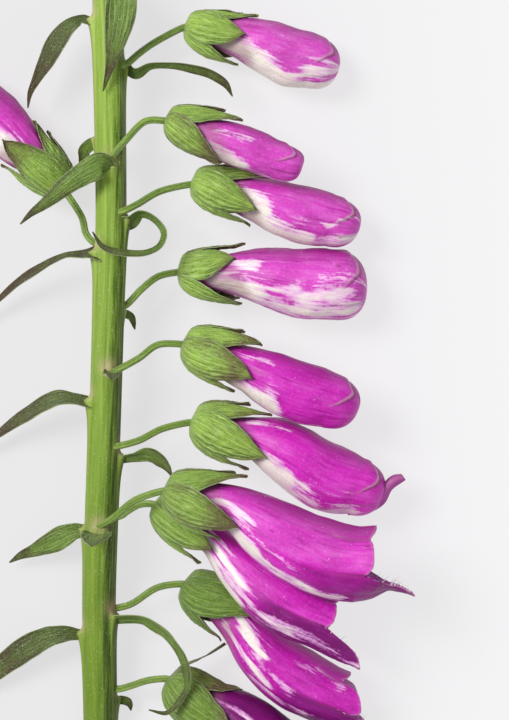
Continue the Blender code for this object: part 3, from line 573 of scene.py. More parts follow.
def blade(rows, roll, seed, tone=0.0, face_down=False, samples=70, columns=23):
    """Points, faces and layers of a leaf along rows of x, y, z and half width as seen."""
    rows = smooth_path(rows, samples)
    across, up = turned_frames(rows[:, :3], roll)
    turn = np.cos(rad(np.linspace(roll[0], roll[1], samples)))
    half = np.maximum(rows[:, 3], 0.08) / np.maximum(turn, 0.5)
    s, q = sheet_axes(samples, columns)
    half = half[:, None] * (1 + 0.05 * wander(s * 9, q * 0.5, seed))
    lift = BRACT_FOLD * half * (np.abs(q) ** 1.3)
    lift = lift + half * 0.13 * wander(s * 8 + q * 1.5, q * 2, seed + 1) * np.abs(q)
    lift = lift + 0.07 * np.cos(q * VEINS * 2 * np.pi) * np.minimum(half, 1.2) * (1 - s)
    middle = rows[:, None, :3] + across[:, None] * (half * q)[..., None]
    thickness = 0.34 * np.clip(half, 0.15, 1) * (1 - 0.7 * q ** 4)
    top = middle + up[:, None] * (lift + thickness / 2)[..., None]
    bottom = middle + up[:, None] * (lift - thickness / 2)[..., None]
    top_is_up = np.mean(up[:, 2]) > 0
    shown = 1.0 if face_down == top_is_up else 0.0
    return leaf_sheet(top, bottom, {"across": q, "along": s, "tint": tone}, shown, 1.0 - shown)


def build_bracts():
    for i, (name, ((h, side, half), roll, middle)) in enumerate(BRACTS.items()):
        start, away = on_stem(h, side, 0.2)
        foot = on_stem(h - 0.3, side, -0.9)[0]
        rows = [(*foot, half * 1.1), (*(start + away * 0.5), half), *middle]
        points, faces, layers = blade(rows, roll, 20 + i, BRACT_TONE.get(name, 0.1),
                                      name in FACE_DOWN)
        make_piece(name + "_leaf", points, faces, layers, BRACT_SKIN, [name])
    print("bracts:", len(BRACTS))


build_bracts()

# %% [markdown]
# ## Flowers
# Every flower hangs on its own axis. Each row of the list below says:
# - `start` and `stalk`: where the stalk leaves the stem (height, side angle), and the x and
#   y it passes;
# - `base` and `aim`: where the green cup begins, and how the axis turns in the table's
#   plane, out of it, and about itself; `mirrored` puts the upper side on the other hand;
# - `calyx`: the cup's size; `dark`: how much the sepals show the dark green of age;
# - `sepals`: the angles round the axis of foot and tip, half the width in degrees, the
#   length, and how brown it is, for the dorsal, upper front, front, lower and back sepal;
#   `stand`: how much farther than usual each one's tip stands off, in millimetres;
# - `tube`: distance along the axis with the tube's upper and lower edge.
#
# A closed flower has a `tip` (distance and height of its end, and `blunt`, the power that
# rounds it), perhaps with the lip's `tongue` out. An open one has the `lip`'s line,
# `lobe` for its lobes' length, `gutter` for how far (share, run) the lip's sides close in,
# `flare` for the mouth's spread, and `short` for a cut back upper lobe.
#
# `cream` lists pale strokes: start and end as (distance, degrees from the upper side),
# then width in degrees and strength. `deep` says how dark the flower has ripened.

# %% Measures of the flowers
FLOWERS = {
    "01": dict(
        start=(131.0, 15), stalk=((27.9, 133.6), (31.0, 136.2)),
        base=(36.6, 139.2, 6.35), aim=(-14, -2, 0), calyx=0.88,
        sepals=((-25, -18, 30, 10.8, 0.5), (30, 14, 38, 14.1, 0.15), (78, 86, 52, 12.6, 0.0),
                (158, 176, 48, 12.5, 0.1), (240, 250, 56, 13.5, 0.1)),
        tube=((2.4, 1.7, -1.5), (8, 3.9, -2.6), (13, 5.3, -3.8), (18, 5.8, -5.4),
              (23, 5.1, -6.5), (27, 4.8, -5.6), (30, 3.5, -4.1), (31.5, 2.1, -2.5)),
        tip=(32.5, -0.2), deep=0.0,
        cream=((8, 118, 20, 145, 34, 1.05), (16, 168, 31, 168, 42, 1.1),
               (27, 125, 32, 105, 40, 0.62))),
    "02": dict(
        start=(111.9, 88), stalk=((25.2, 115.4), (29.0, 119.2)),
        base=(33.0, 119.4, 14.4), aim=(-18, 0, 0), calyx=0.85,
        sepals=((-22, -12, 30, 10.9, 0.6), (38, 22, 50, 14.9, 0.1), (120, 150, 60, 13.6, 0.45),
                (190, 200, 50, 13.0, 0.2), (262, 262, 56, 14.0, 0.1)),
        dark=0.15,
        tube=((2.4, 1.8, -1.8), (8, 3.2, -3.2), (14, 4.0, -4.4), (19, 3.6, -4.4),
              (23.5, 2.9, -4.2), (26.6, 2.6, -3.7), (28.2, 2.2, -3.0)),
        blunt=0.62, tip=(28.9, -0.1), deep=0.1,
        cream=((8, 120, 17, 150, 30, 0.9), (11, 72, 17, 66, 12, 0.55),
               (20, 165, 28, 165, 20, 0.45))),
    "03": dict(
        start=(101.6, 40), stalk=((27.8, 103.2), (32.0, 105.8)),
        base=(38.0, 107.2, 9.4), aim=(-13, -2, 0), calyx=0.9,
        sepals=((-22, -14, 30, 10.5, 0.4), (30, 24, 44, 15.2, 0.15), (84, 114, 54, 14.2, 0.05),
                (165, 180, 48, 13.6, 0.1), (252, 252, 56, 14.5, 0.1)),
        tube=((2.4, 1.7, -1.6), (8, 3.6, -2.8), (14, 4.6, -4.6), (19, 4.9, -6.1),
              (24, 4.7, -6.6), (29, 4.2, -5.9), (32.5, 3.2, -4.1), (34.3, 1.8, -2.3)),
        tip=(35.2, -0.3), deep=0.12,
        cream=((8, 92, 15, 112, 36, 1.1), (13, 142, 25, 158, 36, 1.1),
               (24, 160, 34, 140, 24, 0.75), (29, 105, 34, 60, 9, 0.6))),
    "04": dict(
        start=(95.4, 195), stalk=((17.0, 97.6), (16.0, 101.0)),
        base=(12.8, 105.8, 6.8), aim=(135, -3, 0), calyx=0.9, mirrored=True,
        sepals=((-20, -14, 30, 12.0, 0.6), (32, 20, 44, 14.8, 0.3), (95, 106, 54, 15.7, 0.3),
                (172, 180, 50, 13.5, 0.1), (252, 252, 56, 14.0, 0.1)),
        dark=0.3,
        tube=((2.4, 1.7, -1.6), (8, 3.8, -3.0), (13, 5.1, -4.4), (18, 5.8, -5.4),
              (23, 5.7, -5.8), (27, 5.1, -5.2), (30, 3.8, -3.8), (31.6, 2.0, -2.0)),
        tip=(32.4, 0.0), deep=0.2,
        cream=((8, 110, 18, 125, 40, 1.05), (16, 150, 30, 160, 36, 0.9))),
    "05": dict(
        start=(82.8, -20), stalk=((28.2, 86.2), (31.4, 88.8)),
        base=(35.3, 89.7, 6.6), aim=(-5, 0, 0), calyx=0.95,
        sepals=((-15, -6, 22, 13.2, 0.6), (58, 52, 64, 11.6, 0.1), (150, 170, 46, 13.6, 0.0),
                (200, 215, 50, 13.0, 0.2), (262, 262, 56, 14.3, 0.1)),
        tube=((2.4, 2.0, -1.6), (8, 4.1, -2.9), (13, 5.5, -3.8), (18, 6.5, -5.5),
              (24, 6.8, -6.9), (30, 7.0, -7.1), (34, 6.7, -6.5), (36.8, 4.4, -5.2)),
        tip=(38.5, -0.8), deep=0.1,
        cream=((8, 70, 15, 66, 17, 0.64), (8, 122, 17, 132, 34, 1.05),
               (15, 112, 36, 104, 22, 0.62), (17, 146, 36, 140, 24, 0.85),
               (30, 90, 37, 80, 20, 0.45))),
    "06": dict(
        start=(69.6, 62), stalk=((27.8, 72.3), (31.6, 75.0)),
        base=(36.4, 75.1, 12.6), aim=(-20, 2, 0), calyx=1.0,
        sepals=((-22, -12, 30, 11.0, 0.5), (36, 28, 48, 15.3, 0.3), (114, 104, 50, 16.0, 0.4),
                (172, 172, 50, 13.2, 0.2), (250, 250, 56, 15.0, 0.1)),
        tube=((2.4, 2.0, -2.0), (8, 3.6, -3.3), (13, 4.3, -4.4), (18, 4.9, -6.0),
              (24, 4.9, -6.9), (30, 4.8, -6.4), (33.4, 4.4, -5.2), (36.2, 2.4, -2.8)),
        tip=(37.5, -0.1), deep=0.44,
        cream=((10, 146, 21, 146, 32, 1.1), (19, 168, 30, 172, 16, 0.62),
               (11, 62, 18, 60, 12, 0.45), (15, 120, 21, 120, 10, 0.5))),
    "07": dict(
        start=(54.8, 30), stalk=((28.0, 56.0), (32.4, 58.2)),
        base=(38.0, 59.4, 9.6), aim=(-17, 0, 0), calyx=1.05,
        sepals=((-15, -8, 28, 10.6, 0.6), (28, 13, 46, 15.3, 0.35), (92, 112, 47, 16.7, 0.0),
                (160, 178, 50, 14.0, 0.2), (250, 250, 56, 15.0, 0.1)),
        tube=((2.4, 1.9, -1.7), (8, 3.6, -2.6), (12.5, 4.9, -3.0), (17, 6.1, -5.2),
              (23, 5.8, -7.7), (29, 4.2, -9.4), (34, 3.4, -8.8), (38, 2.4, -7.0)),
        tip=(41.4, -2.6), tongue=((39.0, -6.6), (41.5, -4.0), (42.2, -0.8), (44.3, 2.0)),
        deep=0.36,
        cream=((10, 122, 22, 134, 26, 1.0), (12, 155, 24, 160, 22, 0.95),
               (18, 118, 25, 120, 12, 0.55), (24, 140, 36, 148, 24, 0.62),
               (12, 40, 18, 46, 14, 0.45))),
    "08": dict(
        start=(40.4, -5), stalk=((25.2, 41.5), (27.8, 43.0)),
        base=(30.6, 43.1, 11.4), aim=(-31, 5, -8), calyx=0.95,
        sepals=((-20, -14, 34, 10.0, 0.3), (40, 20, 50, 14.0, 0.1), (104, 112, 54, 15.4, 0.1),
                (172, 180, 50, 14.3, 0.1), (252, 252, 56, 14.0, 0.1)),
        dark=0.4,
        tube=((2.4, 1.9, -1.6), (8, 3.4, -2.4), (13, 3.6, -2.6), (19, 3.4, -5.6),
              (25, 3.2, -7.9), (31, 3.2, -9.1), (37, 3.4, -8.8), (41.5, 3.6, -7.6)),
        lip=((45.0, -7.4), (48.5, -7.0), (52.0, -6.6)), lobe=1.2, gutter=(0.62, 1.3),
        flare=0.3, deep=0.45,
        cream=((8, 150, 24, 165, 26, 1.05), (10, 100, 23, 112, 14, 0.74),
               (18, 132, 36, 144, 17, 0.66), (32, 132, 50, 148, 24, 0.50),
               (10, 72, 18, 80, 9, 0.6))),
    "09": dict(
        start=(39.0, 84), stalk=((22.8, 40.6), (27.4, 44.4)),
        base=(33.0, 46.3, 20.5), aim=(-17, 1.5, 0), calyx=1.05,
        sepals=((-12, -8, 28, 12.6, 0.5), (38, 8, 50, 15.0, 0.25), (108, 112, 46, 16.3, 0.4),
                (172, 178, 52, 13.5, 0.1), (250, 250, 56, 15.6, 0.1)),
        stand=(0.4, 1.4, 0, 0, 0), dark=0.35,
        tube=((2.4, 2.0, -1.7), (8, 4.3, -2.4), (13, 5.3, -2.9), (19, 5.4, -6.5),
              (25, 5.0, -9.1), (31, 4.4, -10.3), (37, 4.6, -10.6), (41.6, 5.5, -9.5)),
        lip=((45.0, -7.8), (48.0, -5.4), (52.9, -5.2)), lobe=1.4, gutter=(0.22, 0.8),
        flare=0.5, deep=0.22,
        cream=((9, 142, 20, 140, 26, 1.1), (19, 146, 38, 152, 14, 0.85),
               (11, 84, 18, 96, 16, 0.7), (16, 110, 28, 118, 10, 0.5))),
    "10": dict(
        start=(21.8, -5), stalk=((26.4, 22.9), (31.2, 26.0)),
        base=(36.3, 26.7, 7.6), aim=(-31, 0, 0), calyx=1.0,
        sepals=((-35, -40, 34, 9.0, 0.3), (22, -2, 46, 12.0, 0.2), (94, 56, 50, 17.0, 0.05),
                (172, 178, 52, 12.6, 0.2), (250, 250, 56, 13.0, 0.1)),
        dark=0.85,
        tube=((2.4, 2.0, -1.8), (8, 3.8, -3.0), (13, 3.6, -5.0), (18, 2.6, -8.0),
              (24, 1.9, -10.1), (30, 2.1, -10.8), (35, 1.9, -10.4), (40.0, 2.4, -9.2)),
        lip=((43.4, -8.6), (47.0, -7.6), (51.0, -7.4)), lobe=3.3, gutter=(0.45, 1.2),
        flare=0.3, short=2.2, deep=0.52,
        cream=((11, 70, 20, 88, 18, 0.95), (12, 118, 24, 126, 12, 0.8),
               (20, 100, 28, 108, 10, 0.55), (22, 148, 34, 140, 12, 0.6),
               (27, 48, 38, 58, 14, 0.36))),
    "11": dict(
        start=(5.2, 5), stalk=((25.8, 6.0), (29.4, 7.3)),
        base=(33.3, 7.6, 8.0), aim=(-37, 0, 0), calyx=1.08,
        sepals=((-20, -12, 24, 5.4, 0.8), (30, 16, 46, 13.2, 0.6), (102, 98, 54, 16.0, 0.1),
                (170, 175, 50, 13.0, 0.2), (250, 250, 56, 13.5, 0.1)),
        stand=(6.0, 0, 0, 0, 0), dark=0.7,
        tube=((2.4, 2.1, -1.9), (8, 4.6, -3.0), (13, 7.2, -4.0), (18, 8.3, -5.2),
              (24, 8.4, -6.2), (30, 8.0, -6.8), (36, 7.6, -7.2), (41.5, 7.8, -6.8)),
        lip=((45.0, -6.2), (48.8, -4.8), (53.0, -4.6)), lobe=2.2, gutter=(0.3, 1.0),
        flare=0.5, deep=1.0,
        cream=((9, 60, 24, 76, 14, 0.52), (12, 88, 22, 96, 9, 0.55),
               (12, 145, 30, 155, 14, 0.8))),
}
# the green cup's upper and lower edge along a flower of size 1, in millimetres
CALYX_U = (0.0, 0.35, 1.2, 2.5, 5.0, 8.0, 12.0, 17.0)
CALYX_UPPER = (1.3, 3.1, 4.2, 4.8, 5.4, 5.8, 6.1, 6.3)
CALYX_LOWER = (-1.2, -2.3, -3.1, -3.9, -4.7, -5.1, -5.2, -5.3)
TUBE_WIDTH = 0.97  # a tube's width from side to side, as a share of its height


# %% One flower's place and outline
class Flower:
    """A flower's axes, and the outlines of its tube and calyx along them."""

    def __init__(self, key, row):
        self.key, self.row = key, row
        pitch, yaw, roll = (rad(a) for a in row["aim"])
        flip = -1.0 if row.get("mirrored") else 1.0
        self.base = np.array(row["base"], float)
        self.along = np.array([math.cos(pitch) * math.cos(yaw),
                               math.sin(pitch) * math.cos(yaw), math.sin(yaw)])
        upper = flip * np.array([-math.sin(pitch), math.cos(pitch), 0.0])
        side = flip * unit(np.cross(self.along, upper))
        self.upper = upper * math.cos(roll) + side * math.sin(roll)
        self.side = side * math.cos(roll) - upper * math.sin(roll)
        self.tube = np.array(row["tube"], float)

    def place(self, u, v, w):
        u, v, w = (np.asarray(x, float)[..., None] for x in (u, v, w))
        return self.base + self.along * u + self.upper * v + self.side * w

    def tube_edges(self, u):
        top = smooth_at(self.tube[:, 0], self.tube[:, 1], u)
        bottom = smooth_at(self.tube[:, 0], self.tube[:, 2], u)
        return top, bottom, TUBE_WIDTH * (top - bottom) / 2

    def cup_edges(self, u):
        """Outer edges of the green cup, which always clears the tube."""
        scale = self.row["calyx"]
        top = scale * smooth_at(CALYX_U, CALYX_UPPER, u)
        bottom = scale * smooth_at(CALYX_U, CALYX_LOWER, u)
        half = 0.92 * (top - bottom) / 2
        over = 0.75 * fade(u, 2.0, 5.0)
        tube_top, tube_bottom, tube_half = self.tube_edges(u)
        inside = fade(u, 1.8, 3.0)
        top = np.maximum(top, inside * (tube_top + over))
        bottom = np.minimum(bottom, inside * (tube_bottom - over))
        return top, bottom, np.maximum(half, inside * (tube_half + over))

    def around(self, u, edges, angle, lift=0.0):
        top, bottom, half = edges
        v = (top + bottom) / 2 + ((top - bottom) / 2 + lift) * np.cos(rad(angle))
        return self.place(u, v, (half + lift) * np.sin(rad(angle)))


def off_upper(angle):
    """Degrees from the upper side of a tube, 0 to 180 on both flanks."""
    return np.abs((angle + 180) % 360 - 180)


flowers = {key: Flower(key, row) for key, row in FLOWERS.items()}
closed_flowers = {key: flower for key, flower in flowers.items() if "tip" in flower.row}
open_flowers = {key: flower for key, flower in flowers.items() if "lip" in flower.row}
print("closed flowers:", len(closed_flowers), "open flowers:", len(open_flowers))

# %% [markdown]
# ### Flower stalks and sepals
# A flower's stalk and its five sepals grew as one green piece. The stalk is a fine bent
# tube that widens into a cup. Each sepal is a thin leaf wrapped round the petal tube:
# broad in the middle, drawn out to a point, and overlapping its neighbours. The upper one
# is narrow and stands off.

# %% Stalk and cup
def tube_rows(path, radii, columns, ribs=0.0):
    """A grid of points round a bent line, with five ribs of that share of the radius."""
    along = unit(np.gradient(path, axis=0))
    upper, rows = np.array([0.31, 0.2, 0.93]), []
    turn = np.arange(columns) * 2 * np.pi / columns
    for centre, t, r in zip(path, along, radii):
        upper = unit(upper - t * (upper @ t))
        across = np.cross(t, upper)
        bumpy = r * (1 + ribs * np.cos(5 * turn + 2))
        rows.append(centre + bumpy[:, None] * (np.cos(turn)[:, None] * upper
                                               + np.sin(turn)[:, None] * across))
    return np.array(rows)


def stalk_path(flower, count):
    """The stalk's line, from inside the stem to inside the cup."""
    h, side = flower.row["start"]
    seat, away = on_stem(h, side)
    marks = flower.row["stalk"]
    toward = unit(np.array([*marks[0], seat[2]]) - seat)
    first = seat + toward * 0.5 + away * 0.35
    rows = [seat - away * 0.9 - toward * 0.5, first]
    for i, (x, y) in enumerate(marks):
        share = fade((i + 1) / (len(marks) + 1), 0, 1)
        rows.append(np.array([x, y, first[2] + (flower.base[2] - first[2]) * share]))
    rows.append(flower.base - flower.along * 0.2)
    rows.append(flower.base + flower.along * 1.2)
    return smooth_path(rows, count)


def stalk_part(flower):
    """The stalk, stouter where it leaves the stem and where it bears the cup."""
    count, columns = 60, 20
    s = np.linspace(0, 1, count)
    radii = 0.70 + 0.40 * fade(s, 0.82, 0.99) + 0.30 * (1 - fade(s, 0.0, 0.16))
    rows = tube_rows(stalk_path(flower, count), radii, columns, 0.04)
    layers = {"across": np.tile(np.linspace(-0.8, 0.8, columns), count),
              "along": np.repeat(s * 0.4, columns), "under": 0.35,
              "tint": np.repeat(0.25 * (1 - fade(s, 0, 0.2)), columns)}
    return rows.reshape(-1, 3), grid_faces(count, columns, True), layers


def cup_part(flower):
    """The green cup under the sepals, where all five are still one."""
    rows, columns = 18, 48
    u = np.linspace(0, 1, rows)[:, None] ** 1.5 * 3.6
    angle = np.linspace(0, 360, columns, endpoint=False)[None, :]
    lift = -0.62 + 0.05 * np.cos(rad(angle * 15))
    u_all = np.broadcast_to(u, (rows, columns))
    points = flower.around(u_all, flower.cup_edges(u_all), angle, lift)
    layers = {"across": np.tile(np.cos(rad(angle[0] * 5)) * 0.8, rows),
              "along": np.repeat(u[:, 0] / 14, columns), "under": 0.3, "tint": 0.05}
    return points.reshape(-1, 3), grid_faces(rows, columns, True), layers


lengths = [np.linalg.norm(np.diff(stalk_path(f, 60), axis=0), axis=1).sum()
           for f in flowers.values()]
print("stalk lengths in mm:", [round(float(x), 1) for x in lengths])

# %% [markdown]
# ### Sepals
# The five sepals lie in layers over the cup. Each is a sheet that is drawn round the axis
# in degrees and millimetres, so it always clears the petal tube below it.

# %% Build stalks and calyxes
# height of each sepal's layer over the cup, and how far its tip leans off the tube
SEPAL_LEVEL = (0.40, 0.16, 0.62, 0.34, 0.10)
SEPAL_LEAN = (1.0, 0.3, 0.3, 0.3, 0.3)
# a sepal's width from foot to tip, as a share of its greatest width
SEPAL_SHARES = (0, 0.1, 0.28, 0.5, 0.75, 0.9, 1.0)
SEPAL_WIDTHS = (0.84, 0.95, 1.0, 0.86, 0.54, 0.27, 0.012)


def sepal_part(flower, number):
    foot, tip, half, length, tint = flower.row["sepals"][number]
    level, lean = SEPAL_LEVEL[number], SEPAL_LEAN[number]
    seed = 100 + 7 * number + 31 * int(flower.key)
    s, q = sheet_axes(56, 41)
    belly = smooth_at(SEPAL_SHARES, SEPAL_WIDTHS, s)
    lean = lean + flower.row.get("stand", (0, 0, 0, 0, 0))[number]
    centre = foot + (tip - foot) * fade(s, 0.05, 1.0)
    edge = 1 + 0.035 * wander(s * 9, np.sign(q) * 3, seed) + 0.012 * wander(s * 40, q, seed + 9)
    u = 0.02 + s ** 1.15 * length - 0.55 * (q ** 2) * fade(s, 0.35, 1.0)
    angle = centre + half * belly * edge * q
    veins = np.cos(q * VEINS * 2 * np.pi) * fade(s, 0.04, 0.2) * (1 - fade(s, 0.8, 1.0))
    quilt = wander(s * 26, q * 9, seed + 5) * (1 - q ** 4) * fade(s, 0.05, 0.3)
    lift = level * fade(s, 0.0, 0.14) + 0.10 * veins + 0.07 * quilt + lean * s ** 2.2
    lift = lift + 0.45 * (1 - q ** 2) * np.sin(np.pi * np.clip(s * 1.1, 0, 1))
    lift = lift + 0.18 * wander(s * 5, q * 2, seed + 3) * s + 0.22 * q ** 8 * fade(s, 0.1, 0.4)
    thickness = 0.3 * (1 - 0.6 * q ** 4)
    edges = flower.cup_edges(np.broadcast_to(u, lift.shape))
    top = flower.around(u, edges, angle, lift - 0.5)
    bottom = flower.around(u, edges, angle, lift - 0.5 - thickness)
    return leaf_sheet(top, bottom, {"across": q, "along": s, "tint": tint},
                      flower.row.get("dark", 0.0))


def build_calyxes():
    for key, flower in flowers.items():
        parts = [stalk_part(flower), cup_part(flower)]
        parts += [sepal_part(flower, i) for i in range(5)]
        points, faces, layers = joined(parts)
        make_piece(f"calyx_{key}_green", points, faces, layers, SEPAL_SKIN,
                   [f"calyx_{key}"])
    print("calyxes:", len(flowers))


build_calyxes()

# %% [markdown]
# ### Petal finish
# A petal tube is thin, moist tissue with a satin gleam: an IOR near 1.4 and a roughness
# near 0.4. Its pink is deepest along the upper side, where painted shade also darkens the
# tube's upper edge. Cream strokes break up into streaks that follow the tube, and fine
# darker veins run lengthwise. Veins are drawn about 0.5 mm apart, twice as coarse as real
# ones, so that they show. Painted shade darkens the cuts between the lobes, the folds and
# the step under the upper lobe's rim. The inside is pale, with dark spots in white rings on
# its lower wall.

# %% Petal skin
def petal_skin():
    skin = Finish("petal_satin_magenta")
    layer, maths, remap, mixed = skin.layer, skin.maths, skin.remap, skin.mixed
    along, around, seed = layer("along"), layer("around"), layer("seed")

    def cells_at(long, wide):
        """A place for a pattern in cells `long` by `wide` millimetres that follow the tube."""
        return skin.point(maths("MULTIPLY", along, 1 / long),
                          maths("MULTIPLY", around, 1 / wide), seed)

    def scattered(long, wide, randomness):
        made = node(skin.tree, "ShaderNodeTexVoronoi", {
            "Vector": cells_at(long, wide), "Scale": 1.0, "Randomness": randomness})
        chances = node(skin.tree, "ShaderNodeSeparateColor", {"Color": made.outputs["Color"]})
        return made.outputs["Distance"], chances.outputs

    streak = skin.noise(cells_at(7.0, 1.7), 1.0, 4.0, 0.6, 0.3)
    vein = skin.noise(cells_at(9.0, 0.55), 1.0, 3.0, 0.6, 0.1)
    place = skin.place()
    grain = skin.noise(place, 1700.0, 3.0, 0.6)
    cloud = skin.noise(place, 170.0, 3.0)
    deep = layer("deep")
    light = skin.ramp(deep, (0.0, "#E58FDB"), (0.4, "#E264D2"), (1.0, "#A01C92"))
    dark = skin.ramp(deep, (0.0, "#8C1E72"), (0.4, "#8E0877"), (1.0, "#55064A"))
    ground = skin.ramp(deep, (0.0, "#CF49B9"), (0.35, "#CC26B4"), (0.65, "#B20F9A"),
                (1.0, "#78096A"))
    ground = mixed(remap(streak, 0.46, 0.78, 0.0, 0.60), ground, light)
    ground = mixed(remap(cloud, 0.56, 0.42, 0.0, 0.22), ground, dark)
    ground = mixed(remap(grain, 0.50, 0.75, 0.0, 0.35), ground, light)
    ground = mixed(remap(vein, 0.46, 0.30, 0.0, 0.60), ground, dark)
    ground = mixed(remap(vein, 0.60, 0.74, 0.0, 0.30), ground, light)
    # deeper pink on the upper side, darkened further as painted shade at the tube's upper edge
    ground = mixed(maths("MULTIPLY", layer("upper"), 0.85), ground, dark)
    # streaks, veins and grain push the edges of the pale strokes to and fro
    feather = maths("MULTIPLY_ADD", streak, 1.6, -0.8)
    feather = maths("MULTIPLY_ADD", vein, 0.95, maths("ADD", feather, -0.475))
    feather = maths("MULTIPLY_ADD", grain, 0.35, maths("ADD", feather, -0.175))
    pushed = maths("ADD", layer("cream"), feather)
    ground = mixed(remap(pushed, 0.36, 0.56, 0.0, 0.85), ground,
                   mixed(deep, "#EBBFE4", "#DC93D6"))
    pale = mixed(remap(grain, 0.35, 0.7), "#F4EEE4", "#E2D9CC")
    pale = mixed(remap(vein, 0.46, 0.34, 0.0, 0.30), pale, "#C4B3A6")
    ground = mixed(remap(pushed, 0.54, 0.84, 0.0, 0.94), ground, pale)
    ground = mixed(layer("shade"), ground, "#8E5A6C")
    ground = mixed(maths("MULTIPLY", layer("seam"), 0.62), ground, "#E3B3C6")
    # painted shade in the cuts between lobes, the folds and under the upper lobe's rim step
    ground = mixed(maths("MULTIPLY", layer("groove_shade"), 0.7), ground, "#6A1F4A")

    # rare brown scars, rare pale flecks, and small freckles on the pale parts
    gap, chance = scattered(4.6, 1.1, 1.0)
    scar = maths("MULTIPLY", remap(gap, 0.17, 0.05), remap(chance[0], 0.83, 0.86))
    ground = mixed(maths("MULTIPLY", scar, 0.75), ground, "#6E3A34")
    gap, chance = scattered(0.9, 0.9, 1.0)
    fleck = maths("MULTIPLY", remap(gap, 0.15, 0.05), remap(chance[1], 0.90, 0.92))
    ground = mixed(maths("MULTIPLY", fleck, 0.7), ground, "#F0D9E6")
    freckle = maths("MULTIPLY", remap(gap, 0.16, 0.07), remap(chance[1], 0.30, 0.34))
    freckle = maths("MULTIPLY", freckle, remap(pushed, 0.62, 0.78, 0.0, 0.55))
    ground = mixed(freckle, ground, "#86657A")

    # the throat: pale, veined, with dark spots in white rings
    gap, _ = scattered(3.0, 2.3, 0.8)
    inside = mixed(remap(streak, 0.4, 0.7), "#D79BD0", "#EBD3E2")
    inside = mixed(deep, inside, "#C76BBB")
    inside = mixed(remap(vein, 0.46, 0.30, 0.0, 0.6), inside, "#B04C92")
    spotted = layer("spotted")
    inside = mixed(maths("MULTIPLY", remap(gap, 0.40, 0.31), spotted), inside, "#F1E6EC")
    inside = mixed(maths("MULTIPLY", remap(gap, 0.24, 0.17), spotted), inside, "#5A0A3C")
    relief = skin.bump(grain, 0.25, 0.0001, skin.bump(vein, 0.5, 0.0003))
    relief = skin.bump(scar, 0.5, 0.0002, relief)
    return skin.finished(mixed(layer("inside"), ground, inside), relief, {
        "Roughness": 0.38, "IOR": 1.4, "Specular IOR Level": 0.4, "Sheen Weight": 0.04,
        "Sheen Roughness": 0.3})


PETAL_SKIN = petal_skin()

# %% Layers that every petal tube carries
TUBE_RADIUS = 5.5  # turns degrees round a tube into millimetres for its patterns


def cream_strokes(flower, u, angle):
    """How pale each point is, from the flower's list of strokes, on both flanks."""
    away = off_upper(angle)
    total = np.zeros(np.broadcast(u, angle).shape)
    for u0, a0, u1, a1, width, strength in flower.row["cream"]:
        t = np.clip((u - u0) / (u1 - u0), 0, 1)
        middle = a0 + (a1 - a0) * t
        beyond = np.maximum(u0 - u, u - u1).clip(0) / 2.5
        near = np.exp(-((away - middle) / width) ** 2 - beyond ** 2)
        total = np.maximum(total, strength * near)
    return total


def tube_layers(flower, u, angle, seam, groove_shade, inside):
    """The full set of number layers for points at u along and angle round a tube."""
    away = off_upper(angle)
    cup = 13.0 * (1 - 0.25 * np.cos(rad(angle)))  # where the sepals' shadow ends
    full = {
        "along": u, "around": rad((angle + 180) % 360 - 180) * TUBE_RADIUS,
        "seed": 3.7 * int(flower.key), "cream": cream_strokes(flower, u, angle),
        "deep": flower.row["deep"], "upper": 1 - fade(away, 8, 66),
        "shade": 0.5 * (1 - fade(u - cup, -2.0, 1.2)), "seam": seam, "groove_shade": groove_shade,
        "inside": inside, "spotted": inside * fade(away, 95, 120),
    }
    shape = np.broadcast(u, angle).shape
    return {k: np.broadcast_to(v, shape).copy() for k, v in full.items()}


print("petal layers: along, around, seed, cream, deep, upper, shade, seam, groove, inside")

# %% [markdown]
# ### Threads and anthers
# The hairs, the pistil and the stamens are smooth, moist threads. The anthers are dry,
# dusty pollen sacs.

# %% Thread and anther finishes
def plain_skin(name, code, second, roughness, scale):
    """A smooth tissue with soft blotches of a second colour, `scale` cells per metre."""
    skin = Finish(name)
    blotch = skin.noise(skin.place(), scale, 3.0)
    colour = skin.mixed(skin.remap(blotch, 0.4, 0.65), code, second)
    return skin.finished(colour, skin.bump(blotch, 0.2, 0.0001), {"Roughness": roughness})


STYLE_SKIN = plain_skin("pistil_tissue_cream", "#E9DCD3", "#D9B9CF", 0.35, 700.0)
ANTHER_SKIN = plain_skin("anther_pollen_yellow", "#D9B23F", "#8E5A3C", 0.6, 1800.0)
HAIR_SKIN = plain_skin("lip_hair_clear", "#F2E6EE", "#E9D3E3", 0.4, 900.0)

# %% [markdown]
# ### Closed flowers
# In a closed flower the free ends of the petals lie folded over each other. The upper
# lobe lies on top: its rim is a low step that curves round the end of the bud, with a
# pale, thin margin. We raise the surface inside that rim by a quarter of a millimetre.

# %% Build the closed flowers
# degrees from the upper side, and how far the rim lies behind the bud's end
LOBE_RIM = ((0, 4.6), (25, 3.6), (50, 2.4), (66, 2.8), (80, 4.0), (95, 6.0), (110, 8.5))
CAP = 6.0  # length of the rounded end
BODY_SHARE = 0.78  # share of the grid's rows that lies before the rounded end
FOLD_AT = 128  # degrees from the upper side of the fold between lip and side lobe


def tongue_part(flower):
    """The tip of a lip that has begun to curl out of a bud."""
    last = flower.tube[-1]
    path = smooth_path([(last[0] - 2.5, -8.0), *flower.row["tongue"]], 40)
    s, q = sheet_axes(len(path), 15)
    half = 2.4 * smooth_at((0, 0.3, 0.7, 0.93, 1.0), (1.0, 0.88, 0.68, 0.64, 0.3), s)
    run = unit(np.gradient(path, axis=0))
    out_u, out_v = run[:, 1:2], -run[:, 0:1]
    sides = []
    for offset in (0.55, -0.45):
        rise = offset - 0.62 * half * q ** 2
        u, v = path[:, 0:1] + out_u * rise, path[:, 1:2] + out_v * rise
        sides.append(flower.place(u, v, half * q))
    shape = sides[0].shape[:2]
    layers = tube_layers(flower, np.full(shape, 30.0) + s * 8, 180 + 30 * q + 0 * s,
                         0.35 * q ** 6 + 0 * s, 0.0, 0.0)
    layers["deep"] = np.full(shape, 0.75)
    layers["cream"] = np.zeros(shape)
    return shell(sides[0], sides[1], layers, layers)


